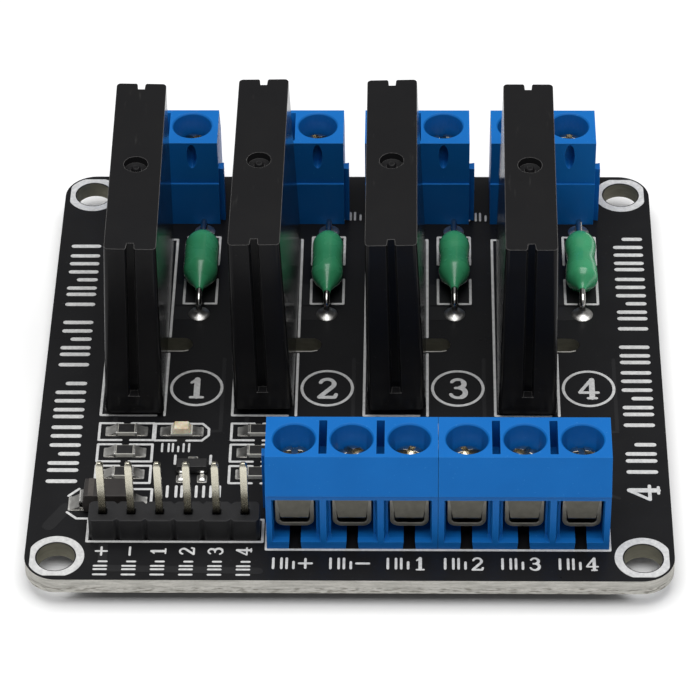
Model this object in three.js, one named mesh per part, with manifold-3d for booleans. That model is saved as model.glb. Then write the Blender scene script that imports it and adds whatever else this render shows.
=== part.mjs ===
// Four-channel solid state relay module: a circuit board that carries four upright relays with their
// fuses, two input and four output screw terminals, a control pin header and the surface-mount parts.
// Millimetres. +X is to the right, +Y to the rear, +Z up. The origin is the middle of the board's
// underside. The wire entries of the input terminals face -Y and those of the output terminals +Y.

import * as THREE from 'three';
import { mergeVertices } from 'three/addons/utils/BufferGeometryUtils.js';
import Module from 'manifold-3d';

const wasm = await Module();
wasm.setup();

// ---- Driving dimensions ------------------------------------------------------------------------

const CHANNELS = 4;
const CHANNEL_PITCH = 12.19;
const FIRST_CHANNEL_X = -20.32;
const TAIL_BOTTOM = -1.5;
const CUT_SLACK = 0.5;
const SEAT_GAP = 0.02;

const BOARD = { width: 57.8, depth: 56.1, thickness: 1.6, corner: 3 };
const FIXING_HOLE = { radius: 1.72, x: 26.1, y: 25.2 };
const PRINTED_RING = { radius: 2.45, proud: 0.04 };
const ISOLATION_SLOT = { fromRelay: -1.5, length: 6.6, width: 1.84, y: 3.03 };
const LEAD_HOLE_RADIUS = { relay: 0.65, terminal: 0.75, header: 0.55, fuse: 0.5 };
const LEAD_HOLE_SIDES = 6;
const FIXING_HOLE_SIDES = 24;

const RELAY = {
  y: 5.23, width: 5.46, depth: 24.5, height: 19.65, topWidth: 4.65, topDepth: 23.87, corner: 0.45,
  wall: 0.75, endWall: 1.38, roof: 0.9,
};
const RELAY_CORE = {
  gap: 0.3, carrier: 0.8, carrierTop: 17.5, resinBottom: 0.2, resinTop: 1.4, partTop: 1.5,
};
const RELAY_GROOVE = { width: 0.95, depth: 0.9, bottom: 2.05 };
const RELAY_DIMPLE = { radius: 1.1, depth: 0.4, nubRadius: 0.4, nubHeight: 0.22 };
const RELAY_LEAD = { width: 0.5, thickness: 0.8, y: [-10.16, -7.62, 2.54, 10.16] };
// The relays were soldered in by hand: each leans, twists and stands off the board a little.
const RELAY_LEAN_DEG = [1.7, -1.0, -1.25, 0];
const RELAY_TWIST_DEG = [0.88, -0.22, 0.24, -0.24];
const RELAY_STAND_OFF = [0.62, 1.14, 1.08, 0.57];

const TERMINAL = {
  pitch: 5.08, height: 10, depth: 6.57, lipHeight: 6.55, topFront: 1.43, footStep: 0.2, footHeight: 5.04,
  endWall: 0.5, rib: 0.52, sideGap: 0.04,
};
const WINDOW = { bottom: 0.85, top: 5.95, depth: 0.95 };
const CHAMBER = { halfWidth: 1.88, back: 5.13, top: 6.25 };
const WELL_RADIUS = 1.85;
const WELL_Y = 3.8;
const TOP_SLOT = { width: 0.72, length: 4.3, front: 1.83, depth: 3.2 };
const FLOOR_NOTCH = { width: 1.17, back: 3.4 };
const SIDE_RAIL = { proud: 0.5, width: 0.9, y: 5.25, height: 6.5, clearance: 0.1 };
const BACK_RECESS = { width: 0.85, bottom: 6.8, top: 9.6, depth: 0.7 };
const CONTACT = { halfWidth: 1.15, barBottom: 3.42, barTop: 3.85, lipBottomHalf: 1.2, lipTopHalf: 1.65 };
const CONTACT_LEG = { front: 5.2, back: 5.75, halfWidth: 0.5 };
const CONTACT_LIP = { front: 0.3, back: 0.55, top: 6.6 };

const CAGE = {
  halfWidth: 1.75, bottom: 2.2, top: 5.6, wall: 0.45, topWall: 0.55, front: 0.72, back: 5.05, corner: 0.85,
};
const SCREW = {
  headRadius: 1.65, headTop: 7.75, headHeight: 1.25, headChamfer: 0.15, shankRadius: 1, tip: 3.95,
  slotWidth: 0.6, slotDepth: 0.55, tipChamfer: 0.25,
};
const CAGE_HOLE_RADIUS = 1.07;
const SCREW_REST_STEP_DEG = 37;

const INPUT_TERMINAL = { poles: 3, front: -24.16, x: [0.27, 15.51] };
const OUTPUT_TERMINAL = { poles: 2, front: 27.5, fromRelay: 1.92 };

const HEADER = {
  pins: 6, pitch: 2.54, x: -15.62, y: -21.95, depth: 2.5, height: 2.5, chamfer: 0.3, pinWidth: 0.64,
  pinTop: 8.55, pinTaper: 0.35, pinGap: 0.03,
};

const FUSE = {
  fromRelay: 5.5, frontLead: 7.42, rearLead: 19.55, bodyFront: 8.95, bodyRear: 17.8, axisHeight: 1.75,
  bulbRadius: 1.52, waistRadius: 1.3, leadRadius: 0.3, bend: 0.8, cone: 1.35, shoulder: 0.7, bulbMiddle: 2.8,
  coatedLead: 0.05,
};

const RESISTOR = { x: -20.75, firstY: -9.0, rowPitch: 2.83, length: 2, width: 1.25, height: 0.5 };
const LED = { x: -15.66, y: -9.02, length: 2, width: 1.25, baseHeight: 0.3, height: 0.85, lensLength: 1.4 };
const TRANSISTOR = {
  x: -14.47, y: -14.05, length: 2.9, width: 1.3, height: 0.95, legPitch: 1.9, legWidth: 0.42, legSpan: 1.2,
  legThickness: 0.14,
};
const DIODE = { x: -21.9, y: -18.5, length: 4.3, width: 2.6, height: 2.1, leadReach: 0.55, leadWidth: 1.5 };

// ---- Colours and finishes ----------------------------------------------------------------------

const finish = (color, roughness, metalness) => {
  return new THREE.MeshStandardMaterial({ color, roughness, metalness });
};

const FINISHES = {
  board: finish('#1f1f21', 0.35, 0),
  relayCase: finish('#222224', 0.4, 0),
  relayCore: finish('#3a4a36', 0.6, 0),
  housing: finish('#1f6cb8', 0.45, 0),
  cage: finish('#77776f', 0.35, 1),
  screw: finish('#a9a594', 0.3, 1),
  headerBody: finish('#1a1a1b', 0.5, 0),
  headerPin: finish('#c9c2a5', 0.3, 1),
  fuse: finish('#2f8f5b', 0.25, 0),
  led: finish('#e6d9b8', 0.4, 0),
  chip: finish('#1b1b1c', 0.5, 0),
};

// ---- Solids ------------------------------------------------------------------------------------

function solidOf(geometry) {
  const bare = geometry.clone();
  bare.deleteAttribute('normal');
  bare.deleteAttribute('uv');
  const merged = mergeVertices(bare, 1e-5);
  return new wasm.Manifold(new wasm.Mesh({
    numProp: 3,
    vertProperties: new Float32Array(merged.attributes.position.array),
    triVerts: new Uint32Array(merged.index.array),
  }));
}

function geometryOf(solid) {
  const mesh = solid.getMesh();
  const geometry = new THREE.BufferGeometry();
  geometry.setAttribute('position', new THREE.BufferAttribute(mesh.vertProperties, 3));
  geometry.setIndex(new THREE.BufferAttribute(mesh.triVerts, 1));
  geometry.computeVertexNormals();
  return geometry;
}

function block(low, high) {
  const size = high.map((value, axis) => value - low[axis]);
  const middle = high.map((value, axis) => (value + low[axis]) / 2);
  return solidOf(new THREE.BoxGeometry(...size).translate(...middle));
}

function upright(radius, bottom, top, x = 0, y = 0, sides = 16) {
  const geometry = new THREE.CylinderGeometry(radius, radius, top - bottom, sides);
  return solidOf(geometry.rotateX(Math.PI / 2).translate(x, y, (bottom + top) / 2));
}

// Extrudes a flat shape from 0 to depth along the named axis. The shape's own two axes become
// X and Y for 'z', X and Z for 'y', and Y and Z for 'x'.
function extrude(shape, depth, axis = 'z', curveSegments = 6) {
  const geometry = new THREE.ExtrudeGeometry(shape, { depth, bevelEnabled: false, curveSegments });
  const right = new THREE.Vector3(1, 0, 0);
  const rear = new THREE.Vector3(0, 1, 0);
  const up = new THREE.Vector3(0, 0, 1);
  if (axis === 'x') geometry.applyMatrix4(new THREE.Matrix4().makeBasis(rear, up, right));
  if (axis === 'y') {
    geometry.applyMatrix4(new THREE.Matrix4().makeBasis(right, up, rear.clone().negate()));
    geometry.translate(0, depth, 0);
  }
  return geometry;
}

function outline(points) {
  return new THREE.Shape(points.map(([a, b]) => new THREE.Vector2(a, b)));
}

function roundedRectangle(width, depth, radius) {
  const x = width / 2;
  const y = depth / 2;
  const shape = new THREE.Shape();
  shape.absarc(x - radius, y - radius, radius, 0, Math.PI / 2);
  shape.absarc(-x + radius, y - radius, radius, Math.PI / 2, Math.PI);
  shape.absarc(-x + radius, -y + radius, radius, Math.PI, Math.PI * 1.5);
  shape.absarc(x - radius, -y + radius, radius, Math.PI * 1.5, Math.PI * 2);
  return shape;
}

// Narrows a geometry towards the top: at `height` it is scaled by topX and topY.
function taper(geometry, height, topX, topY) {
  const position = geometry.attributes.position;
  for (let i = 0; i < position.count; i += 1) {
    const share = position.getZ(i) / height;
    position.setX(i, position.getX(i) * (1 + (topX - 1) * share));
    position.setY(i, position.getY(i) * (1 + (topY - 1) * share));
  }
  return geometry;
}

// ---- The assembly ------------------------------------------------------------------------------

const relayModule = new THREE.Group();

function add(parent, name, shape, material) {
  const mesh = new THREE.Mesh(shape instanceof THREE.BufferGeometry ? shape : geometryOf(shape), material);
  mesh.name = name;
  parent.add(mesh);
  return mesh;
}

const channelX = (channel) => FIRST_CHANNEL_X + channel * CHANNEL_PITCH;
const everyChannel = [...Array(CHANNELS).keys()];
const poleX = (poles, pole) => (pole - (poles - 1) / 2) * TERMINAL.pitch;
const tailY = (CONTACT_LEG.front + CONTACT_LEG.back) / 2;

// ---- Circuit board -----------------------------------------------------------------------------

function leadHoles() {
  const holes = [];
  for (const channel of everyChannel) {
    const x = channelX(channel);
    RELAY_LEAD.y.forEach((y) => holes.push([x, RELAY.y + y, LEAD_HOLE_RADIUS.relay]));
    holes.push([x + FUSE.fromRelay, FUSE.frontLead, LEAD_HOLE_RADIUS.fuse]);
    holes.push([x + FUSE.fromRelay, FUSE.rearLead, LEAD_HOLE_RADIUS.fuse]);
    for (let pole = 0; pole < OUTPUT_TERMINAL.poles; pole += 1) {
      const tailX = x + OUTPUT_TERMINAL.fromRelay + poleX(OUTPUT_TERMINAL.poles, pole);
      holes.push([tailX, OUTPUT_TERMINAL.front - tailY, LEAD_HOLE_RADIUS.terminal]);
    }
  }
  for (const centre of INPUT_TERMINAL.x) {
    for (let pole = 0; pole < INPUT_TERMINAL.poles; pole += 1) {
      const tailX = centre + poleX(INPUT_TERMINAL.poles, pole);
      holes.push([tailX, INPUT_TERMINAL.front + tailY, LEAD_HOLE_RADIUS.terminal]);
    }
  }
  for (let pin = 0; pin < HEADER.pins; pin += 1) {
    holes.push([headerPinX(pin), HEADER.y, LEAD_HOLE_RADIUS.header]);
  }
  return holes;
}

function circuitBoard() {
  const shape = roundedRectangle(BOARD.width, BOARD.depth, BOARD.corner);
  for (const [x, y, radius] of leadHoles()) {
    const rim = new THREE.EllipseCurve(x, y, radius, radius).getPoints(LEAD_HOLE_SIDES);
    rim.pop();
    shape.holes.push(new THREE.Path(rim));
  }
  for (const channel of everyChannel) {
    const radius = ISOLATION_SLOT.width / 2;
    const left = channelX(channel) + ISOLATION_SLOT.fromRelay;
    const slot = new THREE.Path();
    slot.absarc(left + radius, ISOLATION_SLOT.y, radius, Math.PI / 2, Math.PI * 1.5);
    slot.absarc(left + ISOLATION_SLOT.length - radius, ISOLATION_SLOT.y, radius, -Math.PI / 2, Math.PI / 2);
    shape.holes.push(slot);
  }
  let board = solidOf(extrude(shape, BOARD.thickness, 'z', 3));
  const under = -PRINTED_RING.proud;
  const over = BOARD.thickness + PRINTED_RING.proud;
  for (const [sideX, sideY] of [[-1, -1], [1, -1], [1, 1], [-1, 1]]) {
    const x = sideX * FIXING_HOLE.x;
    const y = sideY * FIXING_HOLE.y;
    board = board
      .add(upright(PRINTED_RING.radius, under, over, x, y, FIXING_HOLE_SIDES))
      .subtract(upright(FIXING_HOLE.radius, under - CUT_SLACK, over + CUT_SLACK, x, y, FIXING_HOLE_SIDES));
  }
  return board;
}

// ---- Relays ------------------------------------------------------------------------------------

const TOP_X = RELAY.topWidth / RELAY.width;
const TOP_Y = RELAY.topDepth / RELAY.depth;

function taperedPrism(width, depth, corner, bottom, top) {
  const geometry = extrude(roundedRectangle(width, depth, corner), top - bottom, 'z', 3);
  return solidOf(taper(geometry.translate(0, 0, bottom), RELAY.height, TOP_X, TOP_Y));
}

function relayGroove(end) {
  const size = [RELAY_GROOVE.width, RELAY_GROOVE.depth * 2, RELAY.height];
  const geometry = new THREE.BoxGeometry(...size);
  geometry.translate(0, end * RELAY.depth / 2, RELAY.height / 2 + RELAY_GROOVE.bottom);
  return solidOf(taper(geometry, RELAY.height, 1, TOP_Y));
}

function relayCase() {
  const inside = [RELAY.width - 2 * RELAY.wall, RELAY.depth - 2 * RELAY.endWall];
  const dimpleFloor = RELAY.height - RELAY_DIMPLE.depth;
  const nub = upright(RELAY_DIMPLE.nubRadius, 0, dimpleFloor + RELAY_DIMPLE.nubHeight, 0, 0, 10);
  const dimple = upright(RELAY_DIMPLE.radius, dimpleFloor, RELAY.height + CUT_SLACK).subtract(nub);
  return taperedPrism(RELAY.width, RELAY.depth, RELAY.corner, 0, RELAY.height)
    .subtract(taperedPrism(...inside, RELAY.corner, -CUT_SLACK, RELAY.height - RELAY.roof))
    .subtract(relayGroove(-1))
    .subtract(relayGroove(1))
    .subtract(dimple);
}

// The relay's inside as one piece: a carrier board on edge with the optocoupler, the triac and the
// snubber parts, four leads, and the resin that closes the case round the leads.
function relayCore(standOff) {
  const halfThick = RELAY_CORE.carrier / 2;
  const halfWide = RELAY.width / 2 - RELAY.wall - RELAY_CORE.gap;
  const halfLong = RELAY.depth / 2 - RELAY.endWall - RELAY_CORE.gap;
  const carrierEnd = halfLong - 0.5;
  const sunk = halfThick - 0.1;
  const lowestLead = TAIL_BOTTOM - BOARD.thickness - standOff;
  const parts = {
    carrier: [[-halfThick, -carrierEnd, 1], [halfThick, carrierEnd, RELAY_CORE.carrierTop]],
    triac: [[sunk, 2.2, 5.5], [RELAY_CORE.partTop, 8.6, 13.8]],
    optocoupler: [[sunk, -8.4, 4.6], [RELAY_CORE.partTop, -3.8, 11.2]],
    snubber: [[-RELAY_CORE.partTop, -1.5, 6], [-sunk, 4, 11]],
  };
  const leads = RELAY_LEAD.y.map((y) => [
    [-RELAY_LEAD.width / 2, y - RELAY_LEAD.thickness / 2, lowestLead],
    [RELAY_LEAD.width / 2, y + RELAY_LEAD.thickness / 2, RELAY_CORE.resinTop + 1],
  ]);
  const resin = block(
    [-halfWide, -halfLong, RELAY_CORE.resinBottom],
    [halfWide, halfLong, RELAY_CORE.resinTop],
  );
  const boxes = [...Object.values(parts), ...leads];
  return boxes.reduce((whole, [low, high]) => whole.add(block(low, high)), resin);
}

function addRelays() {
  for (const channel of everyChannel) {
    const relay = new THREE.Group();
    relay.position.set(channelX(channel), RELAY.y, BOARD.thickness + RELAY_STAND_OFF[channel]);
    relay.rotation.set(
      0,
      THREE.MathUtils.degToRad(RELAY_LEAN_DEG[channel]),
      THREE.MathUtils.degToRad(RELAY_TWIST_DEG[channel]),
    );
    relayModule.add(relay);
    add(relay, `relay_${channel + 1}_case`, relayCase(), FINISHES.relayCase);
    add(relay, `relay_${channel + 1}_core`, relayCore(RELAY_STAND_OFF[channel]), FINISHES.relayCore);
  }
}

// ---- Screw terminals ---------------------------------------------------------------------------
// A terminal's own frame: the wire side is the plane y = 0 and faces -Y, z = 0 is on the board.

function housingBlank(width) {
  const profile = outline([
    [0, 0],
    [TERMINAL.depth + TERMINAL.footStep, 0],
    [TERMINAL.depth + TERMINAL.footStep, TERMINAL.footHeight],
    [TERMINAL.depth, TERMINAL.footHeight],
    [TERMINAL.depth, TERMINAL.height],
    [TERMINAL.topFront, TERMINAL.height],
    [0, TERMINAL.lipHeight],
  ]);
  return solidOf(extrude(profile, width, 'x').translate(-width / 2, 0, 0));
}

function contactStrip() {
  const lip = outline([
    [-CONTACT.lipBottomHalf, CONTACT.barBottom],
    [CONTACT.lipBottomHalf, CONTACT.barBottom],
    [CONTACT.lipTopHalf, CONTACT_LIP.top],
    [-CONTACT.lipTopHalf, CONTACT_LIP.top],
  ]);
  const front = extrude(lip, CONTACT_LIP.back - CONTACT_LIP.front, 'y').translate(0, CONTACT_LIP.front, 0);
  const bar = block(
    [-CONTACT.halfWidth, CONTACT_LIP.front + 0.1, CONTACT.barBottom],
    [CONTACT.halfWidth, CONTACT_LEG.back, CONTACT.barTop],
  );
  const leg = block(
    [-CONTACT_LEG.halfWidth, CONTACT_LEG.front, TAIL_BOTTOM - BOARD.thickness],
    [CONTACT_LEG.halfWidth, CONTACT_LEG.back, CONTACT.barTop],
  );
  return solidOf(front).add(bar).add(leg);
}

function poleCuts(x, width) {
  const reach = TERMINAL.pitch / 2 - TERMINAL.rib / 2;
  const left = Math.max(x - reach, -width / 2 + TERMINAL.endWall);
  const right = Math.min(x + reach, width / 2 - TERMINAL.endWall);
  const window = block([left, -CUT_SLACK, WINDOW.bottom], [right, WINDOW.depth, WINDOW.top]);
  const chamber = block(
    [x - CHAMBER.halfWidth, WINDOW.depth - CUT_SLACK, WINDOW.bottom],
    [x + CHAMBER.halfWidth, CHAMBER.back, CHAMBER.top],
  );
  const well = upright(WELL_RADIUS, CHAMBER.top - 0.1, TERMINAL.height + CUT_SLACK, x, WELL_Y);
  const notch = block(
    [x - FLOOR_NOTCH.width / 2, -CUT_SLACK, -CUT_SLACK],
    [x + FLOOR_NOTCH.width / 2, FLOOR_NOTCH.back, WINDOW.bottom + 0.1],
  );
  const recess = block(
    [x - BACK_RECESS.width / 2, TERMINAL.depth - BACK_RECESS.depth, BACK_RECESS.bottom],
    [x + BACK_RECESS.width / 2, TERMINAL.depth + CUT_SLACK, BACK_RECESS.top],
  );
  return window.add(chamber).add(well).add(notch).add(recess);
}

function terminalHousing(poles) {
  const width = poles * TERMINAL.pitch - TERMINAL.sideGap;
  const rail = block(
    [-width / 2 - SIDE_RAIL.proud, SIDE_RAIL.y, 0],
    [-width / 2 + 0.1, SIDE_RAIL.y + SIDE_RAIL.width, SIDE_RAIL.height],
  );
  const groove = block(
    [width / 2 - SIDE_RAIL.proud - SIDE_RAIL.clearance, SIDE_RAIL.y - SIDE_RAIL.clearance, -CUT_SLACK],
    [width / 2 + CUT_SLACK, SIDE_RAIL.y + SIDE_RAIL.width + SIDE_RAIL.clearance,
      SIDE_RAIL.height + SIDE_RAIL.clearance],
  );
  let housing = housingBlank(width).add(rail).subtract(groove);
  for (let pole = 0; pole < poles; pole += 1) {
    housing = housing.subtract(poleCuts(poleX(poles, pole), width));
  }
  for (let gap = 1; gap < poles; gap += 1) {
    const x = (poleX(poles, gap - 1) + poleX(poles, gap)) / 2;
    housing = housing.subtract(block(
      [x - TOP_SLOT.width / 2, TOP_SLOT.front, TERMINAL.height - TOP_SLOT.depth],
      [x + TOP_SLOT.width / 2, TOP_SLOT.front + TOP_SLOT.length, TERMINAL.height + CUT_SLACK],
    ));
  }
  for (let pole = 0; pole < poles; pole += 1) {
    housing = housing.add(contactStrip().translate(poleX(poles, pole), 0, 0));
  }
  return housing;
}

function clampCage() {
  const depth = CAGE.back - CAGE.front;
  const frame = (inset, bottom, top, corner) => {
    const x = CAGE.halfWidth - inset;
    const shape = new THREE.Shape();
    shape.moveTo(x, top);
    shape.lineTo(-x, top);
    shape.absarc(-x + corner, bottom + corner, corner, Math.PI, Math.PI * 1.5);
    shape.absarc(x - corner, bottom + corner, corner, Math.PI * 1.5, Math.PI * 2);
    return shape;
  };
  const outside = extrude(frame(0, CAGE.bottom, CAGE.top, CAGE.corner), depth, 'y', 3);
  const innerCorner = CAGE.corner - CAGE.wall;
  const innerTop = CAGE.top - CAGE.topWall;
  const inside = extrude(frame(CAGE.wall, CAGE.bottom + CAGE.wall, innerTop, innerCorner), depth + 1, 'y', 3);
  return solidOf(outside.translate(0, CAGE.front, 0))
    .subtract(solidOf(inside.translate(0, CAGE.front - 0.5, 0)))
    .subtract(upright(CAGE_HOLE_RADIUS, innerTop - CUT_SLACK, CAGE.top + CUT_SLACK, 0, WELL_Y, 12));
}

// The screw turns about its own axis with its tip on the contact bar, and its thread lifts the cage.
function clampScrew() {
  const headBottom = SCREW.headTop - SCREW.headHeight;
  const tipRadius = SCREW.shankRadius - SCREW.tipChamfer;
  const profile = [
    [0, SCREW.tip],
    [tipRadius, SCREW.tip],
    [SCREW.shankRadius, SCREW.tip + SCREW.tipChamfer],
    [SCREW.shankRadius, headBottom],
    [SCREW.headRadius, headBottom],
    [SCREW.headRadius, SCREW.headTop - SCREW.headChamfer],
    [SCREW.headRadius - SCREW.headChamfer, SCREW.headTop],
    [0, SCREW.headTop],
  ].map(([radius, height]) => new THREE.Vector2(radius, height));
  const turned = new THREE.LatheGeometry(profile, 12).rotateX(Math.PI / 2);
  const driverSlot = block(
    [-SCREW.slotWidth / 2, -SCREW.headRadius - CUT_SLACK, SCREW.headTop - SCREW.slotDepth],
    [SCREW.slotWidth / 2, SCREW.headRadius + CUT_SLACK, SCREW.headTop + CUT_SLACK],
  );
  return solidOf(turned).subtract(driverSlot);
}

let screwsPlaced = 0;

function addTerminal(name, poles, x, wireSideY, facesRear) {
  const terminal = new THREE.Group();
  terminal.position.set(x, wireSideY, BOARD.thickness);
  terminal.rotation.z = facesRear ? Math.PI : 0;
  relayModule.add(terminal);
  add(terminal, `${name}_housing`, terminalHousing(poles), FINISHES.housing);
  for (let pole = 0; pole < poles; pole += 1) {
    const number = facesRear ? poles - pole : pole + 1;
    const cage = add(terminal, `${name}_clamp_${number}`, clampCage(), FINISHES.cage);
    cage.position.x = poleX(poles, pole);
    const screw = add(terminal, `${name}_screw_${number}`, clampScrew(), FINISHES.screw);
    screw.position.set(poleX(poles, pole), WELL_Y, 0);
    screw.rotation.z = THREE.MathUtils.degToRad(SCREW_REST_STEP_DEG * screwsPlaced);
    screwsPlaced += 1;
  }
}

function addTerminals() {
  INPUT_TERMINAL.x.forEach((x, index) => {
    addTerminal(`input_terminal_${index + 1}`, INPUT_TERMINAL.poles, x, INPUT_TERMINAL.front, false);
  });
  for (const channel of everyChannel) {
    const x = channelX(channel) + OUTPUT_TERMINAL.fromRelay;
    addTerminal(`output_terminal_${channel + 1}`, OUTPUT_TERMINAL.poles, x, OUTPUT_TERMINAL.front, true);
  }
}

// ---- Pin header --------------------------------------------------------------------------------

function headerPinX(pin) {
  return HEADER.x + (pin - (HEADER.pins - 1) / 2) * HEADER.pitch;
}

function headerBody() {
  const half = HEADER.depth / 2;
  const inner = half - HEADER.chamfer;
  const front = [];
  const rear = [];
  for (let pin = 0; pin < HEADER.pins; pin += 1) {
    const left = headerPinX(pin) - HEADER.pitch / 2;
    const right = headerPinX(pin) + HEADER.pitch / 2;
    front.push([left, -inner], [left + HEADER.chamfer, -half], [right - HEADER.chamfer, -half]);
    rear.unshift([right - HEADER.chamfer, half], [left + HEADER.chamfer, half], [left, inner]);
  }
  const end = headerPinX(HEADER.pins - 1) + HEADER.pitch / 2;
  const shape = outline([...front, [end, -inner], [end, inner], ...rear]);
  const hole = HEADER.pinWidth / 2 + HEADER.pinGap;
  let body = solidOf(extrude(shape, HEADER.height, 'z'));
  for (let pin = 0; pin < HEADER.pins; pin += 1) {
    const x = headerPinX(pin);
    body = body.subtract(block([x - hole, -hole, -CUT_SLACK], [x + hole, hole, HEADER.height + CUT_SLACK]));
  }
  return body.translate(0, HEADER.y, BOARD.thickness + SEAT_GAP);
}

function headerPin() {
  const corner = HEADER.pinWidth / Math.SQRT2;
  const tip = corner * 0.5;
  const top = BOARD.thickness + HEADER.pinTop;
  const profile = [
    [0, TAIL_BOTTOM],
    [tip, TAIL_BOTTOM],
    [corner, TAIL_BOTTOM + HEADER.pinTaper],
    [corner, top - HEADER.pinTaper],
    [tip, top],
    [0, top],
  ].map(([radius, height]) => new THREE.Vector2(radius, height));
  return new THREE.LatheGeometry(profile, 4).rotateX(Math.PI / 2).rotateZ(Math.PI / 4);
}

function addHeader() {
  add(relayModule, 'pin_header_body', headerBody(), FINISHES.headerBody);
  for (let pin = 0; pin < HEADER.pins; pin += 1) {
    const solid = solidOf(headerPin());
    add(relayModule, `pin_header_pin_${pin + 1}`, solid, FINISHES.headerPin).position.set(
      headerPinX(pin), HEADER.y, 0,
    );
  }
}

// ---- Fuses -------------------------------------------------------------------------------------

function fuseBody() {
  const length = FUSE.bodyRear - FUSE.bodyFront;
  const shoulder = FUSE.cone + FUSE.shoulder;
  const half = [
    [0, 0],
    [FUSE.leadRadius + FUSE.coatedLead, 0],
    [FUSE.bulbRadius * 0.62, FUSE.cone],
    [FUSE.bulbRadius * 0.93, shoulder],
    [FUSE.bulbRadius, FUSE.bulbMiddle],
  ];
  const otherHalf = half.map(([radius, along]) => [radius, length - along]).reverse();
  const profile = [...half, [FUSE.waistRadius, length / 2], ...otherHalf]
    .map(([radius, along]) => new THREE.Vector2(radius, along));
  const lathed = new THREE.LatheGeometry(profile, 10);
  return solidOf(lathed.translate(0, FUSE.bodyFront, BOARD.thickness + FUSE.axisHeight));
}

// One lead: up out of the board, a bend, and along the axis into the end of the body.
function fuseLead(foot, bodyEnd) {
  const high = BOARD.thickness + FUSE.axisHeight;
  const towards = Math.sign(bodyEnd - foot);
  const path = new THREE.CurvePath();
  const bendStart = new THREE.Vector3(0, foot, high - FUSE.bend);
  const bendEnd = new THREE.Vector3(0, foot + towards * FUSE.bend, high);
  path.add(new THREE.LineCurve3(new THREE.Vector3(0, foot, TAIL_BOTTOM), bendStart));
  path.add(new THREE.QuadraticBezierCurve3(bendStart, new THREE.Vector3(0, foot, high), bendEnd));
  path.add(new THREE.LineCurve3(bendEnd, new THREE.Vector3(0, bodyEnd + towards * FUSE.bend, high)));
  const section = new THREE.Shape();
  section.absarc(0, 0, FUSE.leadRadius, 0, Math.PI * 2);
  return solidOf(new THREE.ExtrudeGeometry(section, { steps: 10, extrudePath: path, curveSegments: 3 }));
}

function addFuses() {
  for (const channel of everyChannel) {
    const fuse = fuseBody()
      .add(fuseLead(FUSE.frontLead, FUSE.bodyFront))
      .add(fuseLead(FUSE.rearLead, FUSE.bodyRear));
    const mesh = add(relayModule, `fuse_${channel + 1}`, fuse, FINISHES.fuse);
    mesh.position.x = channelX(channel) + FUSE.fromRelay;
  }
}

// ---- Surface-mount parts -----------------------------------------------------------------------

const seat = BOARD.thickness + SEAT_GAP;

function addResistors() {
  for (let row = 0; row < 3; row += 1) {
    const y = RESISTOR.firstY - row * RESISTOR.rowPitch;
    const chip = block(
      [RESISTOR.x - RESISTOR.length / 2, y - RESISTOR.width / 2, seat],
      [RESISTOR.x + RESISTOR.length / 2, y + RESISTOR.width / 2, seat + RESISTOR.height],
    );
    add(relayModule, `resistor_${row + 1}`, chip, FINISHES.chip);
  }
}

function addLed() {
  const half = LED.length / 2;
  const lensHalf = LED.lensLength / 2;
  const profile = outline([
    [-half, 0], [half, 0], [half, LED.baseHeight], [lensHalf, LED.height], [-lensHalf, LED.height],
    [-half, LED.baseHeight],
  ]);
  const geometry = extrude(profile, LED.width, 'y');
  add(relayModule, 'channel_led', geometry.translate(LED.x, LED.y - LED.width / 2, seat), FINISHES.led);
}

function addTransistor() {
  const foot = TRANSISTOR.legThickness;
  const body = block(
    [-TRANSISTOR.length / 2, -TRANSISTOR.width / 2, foot / 2],
    [TRANSISTOR.length / 2, TRANSISTOR.width / 2, TRANSISTOR.height],
  );
  const leg = (x, side) => {
    const flat = block(
      [x - TRANSISTOR.legWidth / 2, side > 0 ? 0 : -TRANSISTOR.legSpan, 0],
      [x + TRANSISTOR.legWidth / 2, side > 0 ? TRANSISTOR.legSpan : 0, foot],
    );
    const inner = TRANSISTOR.width / 2 - 0.1;
    const outer = TRANSISTOR.width / 2 + 0.2;
    const riser = block(
      [x - TRANSISTOR.legWidth / 2, side > 0 ? inner : -outer, 0],
      [x + TRANSISTOR.legWidth / 2, side > 0 ? outer : -inner, TRANSISTOR.height / 2],
    );
    return flat.add(riser);
  };
  const whole = body
    .add(leg(-TRANSISTOR.legPitch / 2, -1))
    .add(leg(TRANSISTOR.legPitch / 2, -1))
    .add(leg(0, 1));
  add(relayModule, 'channel_transistor', whole, FINISHES.chip).position.set(TRANSISTOR.x, TRANSISTOR.y, seat);
}

function addDiode() {
  const outerHalf = DIODE.length / 2 + DIODE.leadReach;
  const leads = block(
    [-outerHalf, -DIODE.leadWidth / 2, 0],
    [outerHalf, DIODE.leadWidth / 2, DIODE.height / 2],
  );
  const body = block(
    [-DIODE.length / 2, -DIODE.width / 2, 0.1],
    [DIODE.length / 2, DIODE.width / 2, DIODE.height],
  );
  add(relayModule, 'supply_diode', body.add(leads), FINISHES.chip).position.set(DIODE.x, DIODE.y, seat);
}

add(relayModule, 'circuit_board', circuitBoard(), FINISHES.board);
addRelays();
addTerminals();
addHeader();
addFuses();
addResistors();
addLed();
addTransistor();
addDiode();

export default relayModule;
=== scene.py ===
"""The looks of a four-channel solid state relay module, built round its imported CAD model.

Metres, in the CAD frame: +X right, +Y rear, +Z up, z = 0 at the board's underside. The small electronic
parts, the terminals and the relays are modelled here in fine detail; each stands for a CAD node and
rides on that node's body.
"""

import itertools
import math

import bmesh
import bpy
from mathutils import Matrix, Vector


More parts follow.
